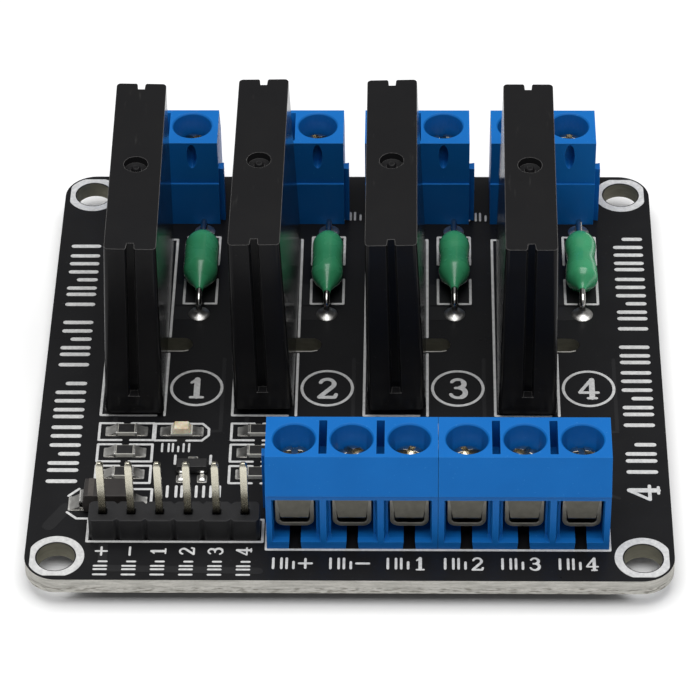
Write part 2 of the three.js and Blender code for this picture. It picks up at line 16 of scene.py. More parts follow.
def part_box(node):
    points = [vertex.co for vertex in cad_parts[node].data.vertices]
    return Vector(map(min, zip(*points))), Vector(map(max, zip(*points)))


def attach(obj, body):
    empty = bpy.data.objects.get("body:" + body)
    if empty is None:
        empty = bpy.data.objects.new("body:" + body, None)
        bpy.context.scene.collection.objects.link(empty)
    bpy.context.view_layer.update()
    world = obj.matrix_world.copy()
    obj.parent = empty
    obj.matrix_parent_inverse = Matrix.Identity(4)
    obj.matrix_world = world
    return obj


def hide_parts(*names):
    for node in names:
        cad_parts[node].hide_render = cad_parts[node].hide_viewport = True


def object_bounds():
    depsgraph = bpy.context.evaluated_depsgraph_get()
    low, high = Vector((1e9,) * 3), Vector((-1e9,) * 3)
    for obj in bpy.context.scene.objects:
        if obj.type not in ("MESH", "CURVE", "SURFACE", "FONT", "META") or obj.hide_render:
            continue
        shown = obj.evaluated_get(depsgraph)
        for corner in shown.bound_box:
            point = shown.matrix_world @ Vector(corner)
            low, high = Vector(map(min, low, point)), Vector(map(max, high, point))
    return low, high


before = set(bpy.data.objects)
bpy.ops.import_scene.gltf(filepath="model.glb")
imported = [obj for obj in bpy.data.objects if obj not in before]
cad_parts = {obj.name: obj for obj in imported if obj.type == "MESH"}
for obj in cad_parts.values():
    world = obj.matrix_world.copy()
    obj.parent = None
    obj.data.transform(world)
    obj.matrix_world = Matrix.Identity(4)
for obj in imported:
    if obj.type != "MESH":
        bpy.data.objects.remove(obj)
CAD_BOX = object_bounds()

MM = 0.001
CHANNELS = range(4)
BOARD_LOW, BOARD_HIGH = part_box("circuit_board")
# The CAD board's box takes in the printed rings, which stand proud of both faces.
RING_PROUD = 0.04 * MM
BOARD_TOP = BOARD_HIGH.z - RING_PROUD
BOARD_UNDER = BOARD_LOW.z + RING_PROUD
ROOT_BODY = "board"
INK = 0.03 * MM


# ---- Mesh tools ----
# A bmesh is built in a local frame in metres; piece() turns it into an object that rides on a body.


def box(low, high):
    """A box between two corners."""
    bm = bmesh.new()
    spans = list(zip(low, high))
    v = [bm.verts.new((x, y, z)) for z in spans[2] for y in spans[1] for x in spans[0]]
    for loop in ((0, 2, 3, 1), (4, 5, 7, 6), (0, 1, 5, 4), (2, 6, 7, 3), (0, 4, 6, 2), (1, 3, 7, 5)):
        bm.faces.new([v[i] for i in loop])
    return bm


def mm_box(low, high):
    return box([v * MM for v in low], [v * MM for v in high])


AXES = {
    "z": Matrix.Identity(4),
    "y": Matrix(((1, 0, 0, 0), (0, 0, -1, 0), (0, 1, 0, 0), (0, 0, 0, 1))),
    "x": Matrix(((0, 0, 1, 0), (1, 0, 0, 0), (0, 1, 0, 0), (0, 0, 0, 1))),
}


def add_prism(bm, outline, low, high, axis="z"):
    """Adds an outline pushed from low to high along an axis. Its own two axes are the other two, in order."""
    start, end = (-high, -low) if axis == "y" else (low, high)
    rings = [[bm.verts.new(AXES[axis] @ Vector((a, b, level))) for a, b in outline] for level in (start, end)]
    bm.faces.new(list(reversed(rings[0])))
    bm.faces.new(rings[1])
    count = len(outline)
    for i in range(count):
        j = (i + 1) % count
        bm.faces.new((rings[0][i], rings[0][j], rings[1][j], rings[1][i]))


def prism(outline, low, high, axis="z"):
    bm = bmesh.new()
    add_prism(bm, outline, low, high, axis)
    bmesh.ops.recalc_face_normals(bm, faces=bm.faces)
    return bm


def add_loft(bm, rings):
    """Joins a list of equal rings of points into a closed body with flat ends."""
    loops = [[bm.verts.new(p) for p in ring] for ring in rings]
    bm.faces.new(list(reversed(loops[0])))
    bm.faces.new(loops[-1])
    for lower, upper in zip(loops, loops[1:]):
        for i in range(len(lower)):
            j = (i + 1) % len(lower)
            bm.faces.new((lower[i], lower[j], upper[j], upper[i]))


def loft(rings):
    bm = bmesh.new()
    add_loft(bm, rings)
    bmesh.ops.recalc_face_normals(bm, faces=bm.faces)
    return bm


def at_height(outline, z):
    """A flat outline as a ring of points for a loft."""
    return [Vector((x, y, z)) for x, y in outline]


def rectangle(x, y, half_x, half_y):
    """The corners of a rectangle about (x, y)."""
    return [(x + sx * half_x, y + sy * half_y) for sx, sy in ((-1, -1), (1, -1), (1, 1), (-1, 1))]


def lathe(profile, sides=32, centre=(0, 0)):
    """Turns (radius, height) points about a vertical axis. Both ends are flat discs."""
    return loft([at_height(ring_points(*centre, radius, sides), z) for radius, z in profile])


def plate(outline, holes, low, high):
    """A flat plate with holes, from z = low to z = high."""
    bm = bmesh.new()
    for loop in [outline, *holes]:
        verts = [bm.verts.new((x, y, low)) for x, y in loop]
        for i, v in enumerate(verts):
            bm.edges.new((v, verts[(i + 1) % len(verts)]))
    bmesh.ops.triangle_fill(bm, use_beauty=True, use_dissolve=False, edges=bm.edges, normal=(0, 0, 1))
    made = bmesh.ops.extrude_face_region(bm, geom=bm.faces[:])
    moved = [g for g in made["geom"] if isinstance(g, bmesh.types.BMVert)]
    bmesh.ops.translate(bm, verts=moved, vec=(0, 0, high - low))
    bmesh.ops.recalc_face_normals(bm, faces=bm.faces)
    return bm


def merge(*parts):
    """Puts several bmeshes into the first one."""
    whole = parts[0]
    for part in parts[1:]:
        mesh = bpy.data.meshes.new("merged")
        part.to_mesh(mesh)
        part.free()
        whole.from_mesh(mesh)
        bpy.data.meshes.remove(mesh)
    return whole


def arc(cx, cy, radius, start, end, steps):
    """Points on an arc, angles in degrees."""
    turn = [math.radians(start + (end - start) * i / steps) for i in range(steps + 1)]
    return [(cx + radius * math.cos(a), cy + radius * math.sin(a)) for a in turn]


def ring_points(cx, cy, radius, sides):
    return arc(cx, cy, radius, 0, 360, sides)[:-1]


def rounded(width, depth, radius, steps=6, cx=0.0, cy=0.0):
    """A rectangle with round corners, about a centre."""
    x, y = width / 2 - radius, depth / 2 - radius
    corners = ((x, y, 0), (-x, y, 90), (-x, -y, 180), (x, -y, 270))
    return [p for a, b, turn in corners for p in arc(cx + a, cy + b, radius, turn, turn + 90, steps)]


def new_object(name, data):
    made = bpy.data.objects.new(name, data)
    bpy.context.scene.collection.objects.link(made)
    return made


def temporary(bm):
    """An object for a boolean or a modifier, not yet a piece."""
    mesh = bpy.data.meshes.new("temporary")
    bm.to_mesh(mesh)
    bm.free()
    return new_object("temporary", mesh)


def apply_modifiers(made):
    graph = bpy.context.evaluated_depsgraph_get()
    old = made.data
    final = made.evaluated_get(graph)
    mesh = bpy.data.meshes.new_from_object(final, preserve_all_data_layers=True, depsgraph=graph)
    made.modifiers.clear()
    made.data = mesh
    bpy.data.meshes.remove(old)
    return made


# After a boolean, points this close are one point, and faces this nearly level are one face.
WELD = 0.002 * MM
LEVEL_ANGLE = math.radians(0.5)


def carve(body, cuts=(), joins=()):
    """Cuts and joins bmeshes into a body and returns the result as a bmesh."""
    made = temporary(body)
    for tools, operation in ((cuts, "DIFFERENCE"), (joins, "UNION")):
        for tool in tools:
            other = temporary(tool)
            modifier = made.modifiers.new("carve", "BOOLEAN")
            modifier.operation = operation
            modifier.solver = "EXACT"
            modifier.object = other
            apply_modifiers(made)
            bpy.data.objects.remove(other)
    result = bmesh.new()
    result.from_mesh(made.data)
    bpy.data.objects.remove(made)
    bmesh.ops.remove_doubles(result, verts=result.verts, dist=WELD)
    bmesh.ops.dissolve_limit(result, angle_limit=LEVEL_ANGLE, verts=result.verts, edges=result.edges)
    return result


# A plane that holds this much of a mesh's surface is a flat side, not part of a rounding.
LARGE = 2.6 * MM * MM
LARGE_SHARE = 0.04
NORMAL_STEPS = 200
PLANE_STEP = 0.01 * MM


def plane_of(polygon):
    """A key that polygons of one plane share."""
    normal = polygon.normal
    return (*(round(part * NORMAL_STEPS) for part in normal), round(normal.dot(polygon.center) / PLANE_STEP))


def soften(bm, width, segments=2, angle=30):
    """Rounds the edges of a bmesh that are sharper than an angle, and shades the roundings smoothly."""
    made = temporary(bm)
    modifier = made.modifiers.new("soften", "BEVEL")
    modifier.width = width
    modifier.segments = segments
    modifier.limit_method = "ANGLE"
    modifier.angle_limit = math.radians(angle)
    apply_modifiers(made)
    mesh = shaded(made.data.copy())
    bpy.data.objects.remove(made)
    planes = [plane_of(polygon) for polygon in mesh.polygons]
    areas = {}
    for plane, polygon in zip(planes, mesh.polygons):
        areas[plane] = areas.get(plane, 0.0) + polygon.area
    least = min(LARGE, LARGE_SHARE * sum(areas.values()))
    for plane, polygon in zip(planes, mesh.polygons):
        polygon.use_smooth = areas[plane] < least
    return mesh


def shaded(mesh, sharp=50):
    mesh.shade_smooth()
    mesh.set_sharp_from_angle(angle=math.radians(sharp))
    return mesh


# Faces that meet at less than this many degrees are shaded as one round surface.
ROUND = 60


def as_mesh(bm, sharp=40):
    mesh = bpy.data.meshes.new("part")
    bm.to_mesh(mesh)
    bm.free()
    return shaded(mesh, sharp)


def piece(name, mesh, material, body=ROOT_BODY, place=None, stands_for=()):
    """A finished piece: its mesh, material, body, place and the CAD nodes it stands for."""
    if place is not None or mesh.users:
        mesh = mesh.copy()
    if place is not None:
        mesh.transform(place)
    mesh.name = name
    if not mesh.materials:
        mesh.materials.append(material)
    made = new_object(name, mesh)
    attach(made, body)
    if stands_for:
        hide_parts(*stands_for)
    return made


# ---- Materials ----


class Surface:
    """A Principled material with helpers for procedural detail in object space."""

    def __init__(self, name, metallic=0.0, specular=0.5, coat=0.0, coat_roughness=0.1):
        self.material = bpy.data.materials.new(name)
        self.material.use_nodes = True
        self.nodes = self.material.node_tree.nodes
        self.links = self.material.node_tree.links
        self.shader = self.nodes["Principled BSDF"]
        self.shader.inputs["Metallic"].default_value = metallic
        self.shader.inputs["Specular IOR Level"].default_value = specular
        self.shader.inputs["Coat Weight"].default_value = coat
        self.shader.inputs["Coat Roughness"].default_value = coat_roughness
        self.place = self.nodes.new("ShaderNodeTexCoord").outputs["Object"]

    def node(self, kind, **inputs):
        made = self.nodes.new(kind)
        for key, value in inputs.items():
            self.put(made.inputs[key], value)
        return made

    def put(self, socket, value):
        if isinstance(value, bpy.types.NodeSocket):
            self.links.new(value, socket)
        else:
            socket.default_value = value

    def noise(self, size, detail=3.0, stretch=(1, 1, 1), roughness=0.5):
        """Noise whose features are about size across."""
        mapping = self.node("ShaderNodeMapping", Vector=self.place, Scale=stretch)
        across = mapping.outputs["Vector"]
        made = self.node("ShaderNodeTexNoise", Vector=across, Scale=1 / size, Detail=detail)
        self.put(made.inputs["Roughness"], roughness)
        return made.outputs["Fac"]

    def ramp(self, value, low, high, start=0.0, end=1.0):
        """Maps a value from start..end to low..high, which are numbers."""
        made = self.nodes.new("ShaderNodeMapRange")
        self.put(made.inputs["Value"], value)
        for key, number in (("From Min", start), ("From Max", end), ("To Min", low), ("To Max", high)):
            made.inputs[key].default_value = number
        return made.outputs["Result"]

    def mix(self, factor, first, second, kind="RGBA"):
        """Mixes two colours, or with kind FLOAT two values."""
        made = self.nodes.new("ShaderNodeMix")
        made.data_type = kind
        for key, value in (("Factor", factor), ("A", first), ("B", second)):
            self.put(made.inputs[key], (*value, 1.0) if isinstance(value, tuple) else value)
        return made.outputs["Result"]

    def over(self, color, paint, mask, share):
        """Lays paint over a colour by a share of a mask."""
        return self.mix(self.product(mask, share), color, paint)

    def patches(self, value, start, end):
        """0 where a value is under start, 1 where it is over end."""
        return self.ramp(value, 0.0, 1.0, start, end)

    def product(self, first, second):
        made = self.nodes.new("ShaderNodeMath")
        made.operation = "MULTIPLY"
        self.put(made.inputs[0], first)
        self.put(made.inputs[1], second)
        return made.outputs[0]

    def edges(self, reach=0.1 * MM):
        """1 along edges, 0 elsewhere: where a rounded normal parts from the real one."""
        rounded_normal = self.node("ShaderNodeBevel", Radius=reach).outputs["Normal"]
        compare = self.nodes.new("ShaderNodeVectorMath")
        compare.operation = "DOT_PRODUCT"
        self.put(compare.inputs[0], rounded_normal)
        self.put(compare.inputs[1], self.nodes.new("ShaderNodeNewGeometry").outputs["Normal"])
        return self.ramp(compare.outputs["Value"], 1.0, 0.0, 0.8, 0.98)

    def facing_up(self, start=0.6, end=0.9):
        """1 where the surface faces up."""
        normal = self.nodes.new("ShaderNodeNewGeometry").outputs["Normal"]
        parts = self.node("ShaderNodeSeparateXYZ", Vector=normal)
        return self.ramp(parts.outputs["Z"], 0.0, 1.0, start, end)

    def height(self, low, high):
        """0 below the height low, 1 above the height high, in the frame."""
        parts = self.node("ShaderNodeSeparateXYZ", Vector=self.place)
        return self.ramp(parts.outputs["Z"], 0.0, 1.0, low, high)

    def bump(self, height, depth):
        """Adds a height field as relief of about depth."""
        made = self.nodes.new("ShaderNodeBump")
        made.inputs["Strength"].default_value = 1.0
        made.inputs["Distance"].default_value = depth
        self.put(made.inputs["Height"], height)
        previous = self.shader.inputs["Normal"]
        if previous.is_linked:
            self.links.new(previous.links[0].from_socket, made.inputs["Normal"])
        self.links.new(made.outputs["Normal"], previous)

    def finish(self, color, roughness):
        self.put(self.shader.inputs["Base Color"], color)
        self.put(self.shader.inputs["Roughness"], roughness)
        return self.material


def cloudy(name, cloud, colors, gloss, relief, edge=None, stretch=(1, 1, 1), **shader):
    """A surface with cloudy colour and gloss, a fine relief and, on moulded parts, painted edge highlights.

    cloud is (size, detail) and relief is (size, detail, depth), with sizes in millimetres. gloss is the
    lowest and highest roughness, and edge is (share, colour) of the painted edge highlight.
    """
    s = Surface(name, **shader)
    clouds = s.noise(cloud[0] * MM, cloud[1], stretch)
    color = s.mix(clouds, *colors)
    # Painted highlight: the edge colour laid along the edges.
    if edge:
        color = s.over(color, edge[1], s.edges(), edge[0])
    s.bump(s.noise(relief[0] * MM, relief[1], stretch), relief[2] * MM)
    return s.finish(color, s.ramp(clouds, *gloss))


def solder_mask(name, dark, light):
    s = Surface(name, specular=0.2)
    cloud = s.noise(6 * MM)
    color = s.mix(cloud, dark, light)
    dust = s.patches(s.noise(0.25 * MM, detail=2.0), 0.70, 0.76)
    color = s.over(color, (0.04, 0.04, 0.04), dust, 0.4)
    s.bump(s.noise(0.35 * MM, detail=2.0), 0.004 * MM)
    s.bump(s.noise(2.5 * MM, detail=1.0), 0.012 * MM)
    return s.finish(color, s.ramp(s.noise(3 * MM), 0.24, 0.36))


def glass_epoxy():
    s = Surface("glass_epoxy", specular=0.3)
    layers = s.noise(0.25 * MM, detail=3.0, stretch=(0.12, 0.12, 1.0))
    fibres = s.noise(0.12 * MM, detail=4.0, stretch=(0.3, 0.3, 1.0), roughness=0.7)
    color = s.mix(s.patches(layers, 0.35, 0.65), (0.42, 0.41, 0.375), (0.60, 0.585, 0.54))
    lower_half = s.height(0.9 * MM, 0.6 * MM)
    dashes = s.patches(s.noise(0.3 * MM, detail=2.0, stretch=(0.3, 0.3, 1.6)), 0.5, 0.62)
    color = s.over(color, (0.24, 0.23, 0.2), dashes, lower_half)
    color = s.mix(s.ramp(fibres, 0.0, 0.5, 0.5, 0.8), color, (0.2, 0.19, 0.15))
    s.bump(fibres, 0.03 * MM)
    return s.finish(color, s.ramp(layers, 0.55, 0.8))


def ink():
    s = Surface("ink", specular=0.3)
    color = s.mix(s.patches(s.noise(0.3 * MM, detail=4.0), 0.3, 0.7), (0.5, 0.5, 0.5), (0.66, 0.66, 0.65))
    s.bump(s.noise(0.12 * MM), 0.004 * MM)
    return s.finish(color, 0.55)


def relay_plastic():
    s = Surface("relay_plastic", specular=0.1)
    grain = s.noise(0.08 * MM, detail=2.0)
    cloud = s.noise(4 * MM, detail=3.0)
    color = s.mix(cloud, (0.0075, 0.0075, 0.0085), (0.0115, 0.0112, 0.0115))
    scuffs = s.patches(s.noise(0.5 * MM, detail=5.0, stretch=(1, 0.15, 1)), 0.66, 0.8)
    color = s.over(color, (0.06, 0.058, 0.056), scuffs, 0.35)
    # Painted highlights: paler colour along all edges, palest along the edges that face up.
    edges = s.edges()
    color = s.over(color, (0.05, 0.048, 0.046), edges, 0.5)
    color = s.over(color, (0.20, 0.195, 0.19), edges, s.facing_up(0.3, 0.6))
    top = s.facing_up()
    relief = s.product(grain, s.ramp(top, 0.15, 1.0))
    s.bump(relief, 0.012 * MM)
    sides_gloss, top_gloss = s.ramp(s.noise(2 * MM), 0.14, 0.22), s.ramp(s.noise(1.5 * MM), 0.46, 0.56)
    return s.finish(color, s.mix(top, sides_gloss, top_gloss, "FLOAT"))


def blue_nylon():
    s = Surface("blue_nylon", specular=0.16)
    cloud = s.noise(3.5 * MM, detail=2.0)
    color = s.mix(cloud, (0.0045, 0.125, 0.43), (0.0070, 0.150, 0.50))
    # Painted highlight: paler blue along the edges.
    color = s.over(color, (0.05, 0.26, 0.64), s.edges(), 0.4)
    specks = s.patches(s.noise(0.18 * MM, detail=1.0), 0.74, 0.8)
    color = s.over(color, (0.07, 0.30, 0.66), specks, 0.5)
    s.bump(s.noise(0.12 * MM, detail=3.0), 0.006 * MM)
    s.bump(s.noise(1.8 * MM, detail=1.0), 0.02 * MM)
    return s.finish(color, s.ramp(s.noise(0.8 * MM), 0.32, 0.46))


def plated_steel(name, dark, light, low, high, brush=(1, 1, 6), painted_reflections=()):
    """A plated metal with fine brushing and dull patches, and a painted dark reflection below each height in
    its last argument.
    """
    s = Surface(name, metallic=1.0)
    cloud = s.noise(0.7 * MM, detail=4.0)
    lines = s.noise(0.05 * MM, detail=2.0, stretch=brush)
    color = s.mix(cloud, dark, light)
    fade = 0.5 * MM
    # Painted reflection: darker colour below each given height.
    for height, reflection_color in painted_reflections:
        color = s.mix(s.height(height - fade, height + fade), reflection_color, color)
    s.bump(lines, 0.0015 * MM)
    s.bump(s.noise(0.4 * MM, detail=2.0), 0.004 * MM)
    return s.finish(color, s.ramp(s.noise(0.25 * MM, detail=3.0), low, high))


def led_resin():
    s = Surface("led_resin", specular=0.5)
    cloud = s.noise(0.8 * MM, detail=3.0)
    color = s.mix(s.patches(cloud, 0.35, 0.65), (0.62, 0.50, 0.33), (0.84, 0.76, 0.60))
    s.shader.inputs["Subsurface Weight"].default_value = 0.4
    s.shader.inputs["Subsurface Scale"].default_value = 0.4 * MM
    s.bump(cloud, 0.02 * MM)
    return s.finish(color, s.ramp(cloud, 0.25, 0.4))


MASK = solder_mask("solder_mask", (0.0075, 0.0075, 0.0085), (0.0110, 0.0110, 0.0120))
MASK_ON_COPPER = solder_mask("mask_on_copper", (0.0150, 0.0150, 0.0160), (0.0210, 0.0210, 0.0220))
EPOXY = glass_epoxy()
# Drilled and milled glass-epoxy, painted darker than the board's outer edge: painted shade inside the holes
# and slots.
HOLE_WALL = cloudy("hole_wall", (0.4, 3), ((0.10, 0.095, 0.066), (0.24, 0.23, 0.175)), (0.5, 0.75),
                   (0.4, 3, 0.03), stretch=(0.3, 0.3, 1.0), specular=0.3)
WHITE_INK = ink()
SOLDER = cloudy("solder", (0.5, 4), ((0.55, 0.54, 0.51), (0.82, 0.81, 0.78)), (0.26, 0.5), (0.6, 2, 0.03),
                metallic=1.0)
RELAY_PLASTIC = relay_plastic()
RELAY_RESIN = cloudy("relay_resin", (1.2, 3), ((0.01, 0.01, 0.011), (0.03, 0.028, 0.026)), (0.25, 0.5),
                     (1.2, 3, 0.08))
BLUE_NYLON = blue_nylon()
# The cage and contact metals are painted darker than plated metal is: a painted dark reflection of the shaded
# window round them, darkest on the contact.
CAGE_METAL = plated_steel("cage_metal", (0.13, 0.126, 0.112), (0.26, 0.252, 0.225), 0.22, 0.42)
CONTACT_METAL = plated_steel("contact_metal", (0.070, 0.068, 0.058), (0.125, 0.120, 0.102), 0.24, 0.4)
ROUND_BRUSH = (6, 6, 1)
SCREW_METAL = plated_steel("screw_metal", (0.50, 0.46, 0.37), (0.72, 0.68, 0.58), 0.16, 0.32, ROUND_BRUSH)
# Pins are painted darker towards the board, in two steps: a painted reflection of the dark header body at
# their feet.
PIN_PAINTED_REFLECTIONS = ((BOARD_TOP + 4.9 * MM, (0.27, 0.25, 0.19)), (BOARD_TOP + 3.1 * MM, (0.02, 0.018, 0.015)))
PIN_METAL = plated_steel("pin_metal", (0.58, 0.55, 0.44), (0.76, 0.73, 0.61), 0.2, 0.34,
                         ROUND_BRUSH, PIN_PAINTED_REFLECTIONS)
LEAD_METAL = plated_steel("lead_metal", (0.60, 0.59, 0.56), (0.80, 0.79, 0.76), 0.14, 0.3)
# The header's paler edges are painted highlights.
HEADER_PLASTIC = cloudy("header_plastic", (1.0, 4), ((0.008, 0.008, 0.009), (0.018, 0.018, 0.019)),
                        (0.38, 0.6), (0.15, 3, 0.015), edge=(0.45, (0.07, 0.07, 0.072)), specular=0.35)
FUSE_GREEN = cloudy("fuse_green", (1.5, 2), ((0.040, 0.30, 0.125), (0.066, 0.42, 0.20)), (0.2, 0.34),
                    (0.9, 1, 0.02), specular=0.4, coat=0.5, coat_roughness=0.1)
CERAMIC = cloudy("ceramic_white", (0.3, 4), ((0.42, 0.41, 0.37), (0.58, 0.57, 0.52)), (0.4, 0.6),
                 (0.3, 4, 0.01), specular=0.4)
# The chips' paler edges are painted highlights.
CHIP_BLACK = cloudy("chip_black", (0.5, 4), ((0.010, 0.010, 0.011), (0.022, 0.021, 0.021)), (0.35, 0.55),
                    (0.1, 3, 0.008), edge=(0.4, (0.06, 0.06, 0.06)), specular=0.4)
DIODE_BROWN = cloudy("diode_brown", (0.6, 4), ((0.016, 0.014, 0.013), (0.032, 0.027, 0.025)), (0.4, 0.6),
                     (0.1, 3, 0.01), specular=0.4)
# Brown-grey ink of the diode's cathode band.
FADED_PRINT = cloudy("faded_print", (0.2, 4), ((0.045, 0.040, 0.036), (0.085, 0.075, 0.068)), (0.45, 0.6),
                     (0.2, 4, 0.004), specular=0.3)
LED_RESIN = led_resin()


# ---- Where things are, from the frame ----


def middle(node):
    low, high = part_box(node)
    return (low + high) / 2


def relay_place(channel):
    """The CAD relay case's own frame: origin in the middle of its open bottom, leaning as it was soldered."""
    co = [v.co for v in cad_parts[f"relay_{channel + 1}_case"].data.vertices]
    slack = 0.3 * MM
    low, high = min(c.z for c in co), max(c.z for c in co)
    foot = [c for c in co if c.z < low + slack]
    head = [c for c in co if c.z > high - slack]
    base = sum(foot, Vector()) / len(foot)
    up = (sum(head, Vector()) / len(head) - base).normalized()
    rear = [c for c in foot if c.y > base.y]
    front = [c for c in foot if c.y < base.y]
    along = (sum(rear, Vector()) / len(rear) - sum(front, Vector()) / len(front)).normalized()
    across = along.cross(up).normalized()
    along = up.cross(across)
    turn = Matrix((across, along, up)).transposed().to_4x4()
    return Matrix.Translation(base) @ turn


RELAY_PLACES = [relay_place(c) for c in CHANNELS]
FIRST_RELAY_X = -20.32 * MM
CHANNEL_STEP = 12.19 * MM
RELAY_X = [FIRST_RELAY_X + CHANNEL_STEP * c for c in CHANNELS]
FUSE_X = [middle(f"fuse_{c + 1}").x for c in CHANNELS]
FUSE_LOW, FUSE_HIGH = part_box("fuse_1")
LEAD_RADIUS = 0.3 * MM
SQUARE_LEAD = 0.42 * MM
TERMINAL_LEAD = 0.55 * MM
FUSE_FRONT_Y = FUSE_LOW.y + LEAD_RADIUS
FUSE_REAR_Y = FUSE_HIGH.y - LEAD_RADIUS
FUSE_AXIS_Z = BOARD_TOP + 1.75 * MM
TAIL_Z = FUSE_LOW.z

PITCH = 5.08 * MM
RAIL = 0.5 * MM
TAIL_FROM_WIRE_SIDE = 5.475 * MM


def terminal(name, poles, faces_rear):
    low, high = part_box(f"{name}_housing")
    centre = (low.x + high.x + (-RAIL if faces_rear else RAIL)) / 2
    turn = Matrix.Rotation(math.pi if faces_rear else 0, 4, "Z")
    place = Matrix.Translation((centre, high.y if faces_rear else low.y, BOARD_TOP)) @ turn
    return {"name": name, "poles": poles, "rear": faces_rear, "place": place}


TERMINALS = [terminal(f"input_terminal_{n}", 3, False) for n in (1, 2)]
TERMINALS += [terminal(f"output_terminal_{c + 1}", 2, True) for c in CHANNELS]


def pole_x(poles, pole):
    """A pole's middle in its terminal's own frame."""
    return (pole - (poles - 1) / 2) * PITCH


HEADER_PINS = [middle(f"pin_header_pin_{n}") for n in range(1, 7)]
RELAY_LEAD_Y = [y * MM for y in (-10.16, -7.62, 2.54, 10.16)]


def tail_places():
    """(x, y, lead radius) of every lead that goes through the board."""
    places = []
    for channel in CHANNELS:
        for y in RELAY_LEAD_Y:
            at = RELAY_PLACES[channel] @ Vector((0, y, -BOARD_TOP))
            places.append((at.x, at.y, SQUARE_LEAD))
        places += [(FUSE_X[channel], y, LEAD_RADIUS) for y in (FUSE_FRONT_Y, FUSE_REAR_Y)]
    for block in TERMINALS:
        for pole in range(block["poles"]):
            at = block["place"] @ Vector((pole_x(block["poles"], pole), TAIL_FROM_WIRE_SIDE, 0))
            places.append((at.x, at.y, TERMINAL_LEAD))
    places += [(pin.x, pin.y, SQUARE_LEAD) for pin in HEADER_PINS]
    return places


TAILS = tail_places()


# ---- Circuit board ----

FIXING_HOLE = {"x": 26.1 * MM, "y": 25.2 * MM, "radius": 1.72 * MM}
RING = {"outer": 2.55 * MM, "inner": 1.83 * MM, "from_edge": 0.5 * MM}
SLOT = {"from_relay": -1.5 * MM, "length": 6.6 * MM, "width": 1.84 * MM, "y": 3.03 * MM}
CORNERS = [(sx * FIXING_HOLE["x"], sy * FIXING_HOLE["y"]) for sx in (-1, 1) for sy in (-1, 1)]
BOARD_CORNER = 3 * MM
LEAD_CLEARANCE = 0.12 * MM
COPPER = 0.01 * MM


def slot_outline(channel):
    left = RELAY_X[channel] + SLOT["from_relay"]
    centre = left + SLOT["length"] / 2
    return rounded(SLOT["length"], SLOT["width"], SLOT["width"] / 2 - 0.001 * MM, 8, centre, SLOT["y"])


def circuit_board():
    width, depth = BOARD_HIGH.x - BOARD_LOW.x, BOARD_HIGH.y - BOARD_LOW.y
    holes = [ring_points(x, y, FIXING_HOLE["radius"], 48) for x, y in CORNERS]
    holes += [ring_points(x, y, radius + LEAD_CLEARANCE, 12) for x, y, radius in TAILS]
    holes += [slot_outline(channel) for channel in CHANNELS]
    bm = plate(rounded(width, depth, BOARD_CORNER, 12), holes, BOARD_UNDER, BOARD_TOP)

    def on_outer_edge(point):
        x, y = abs(point.x) - (width / 2 - BOARD_CORNER), abs(point.y) - (depth / 2 - BOARD_CORNER)
        return math.hypot(max(x, 0), max(y, 0)) > BOARD_CORNER - 0.1 * MM

    for face in bm.faces:
        if abs(face.normal.z) < 0.5:
            face.material_index = 1 if on_outer_edge(face.calc_center_median()) else 2
    mesh = as_mesh(bm, 30)
    for material in (MASK, EPOXY, HOLE_WALL):
        mesh.materials.append(material)
    piece("circuit_board_body", mesh, MASK, stands_for=("circuit_board",))


def fixing_rings():
    """White printed rings round the fixing holes on both faces, cut short at the board's edges."""
    reach_x = BOARD_HIGH.x - RING["from_edge"]
    reach_y = BOARD_HIGH.y - RING["from_edge"]
    rings = bmesh.new()
    for x, y in CORNERS:
        outer = [(max(-reach_x, min(reach_x, a)), max(-reach_y, min(reach_y, b)))
                 for a, b in ring_points(x, y, RING["outer"], ROUND_SIDES)]
        inner = ring_points(x, y, RING["inner"], ROUND_SIDES)
        for low, high in ((BOARD_LOW.z, BOARD_UNDER), (BOARD_TOP, BOARD_HIGH.z)):
            rings = merge(rings, plate(outer, [inner], low, high))
    piece("fixing_hole_rings", as_mesh(rings), WHITE_INK)


# Strips that cross lie at slightly different heights, so that no two tops share a plane.
STAGGER = itertools.cycle([0.001 * MM * level for level in range(11)])


def ribbon(bm, points, width, low, high, caps=6):
    """A raised strip along a line of points, with round ends and corners."""
    for (ax, ay), (bx, by) in zip(points, points[1:]):
        length = math.hypot(bx - ax, by - ay)
        if length < 1e-7:
            continue
        turn = math.degrees(math.atan2(by - ay, bx - ax))
        outline = arc(bx, by, width / 2, turn - 90, turn + 90, caps)
        outline += arc(ax, ay, width / 2, turn + 90, turn + 270, caps)
        rise = next(STAGGER)
        add_prism(bm, outline, low - rise, high + rise)


def slot_rims():
    """The bare laminate that shows where the cutter broke through the mask at each slot's front."""
    bm = bmesh.new()
    y = SLOT["y"] - SLOT["width"] / 2 - 0.05 * MM
    for x in RELAY_X:
        left = x + SLOT["from_relay"] + SLOT["width"] / 2
        right = x + SLOT["from_relay"] + SLOT["length"] - SLOT["width"] / 2
        rim = [(left, y), (right, y), (right + 0.5 * MM, y + 0.14 * MM)]
        ribbon(bm, rim, 0.1 * MM, BOARD_TOP, BOARD_TOP + INK)
    piece("slot_rims", as_mesh(bm), EPOXY)


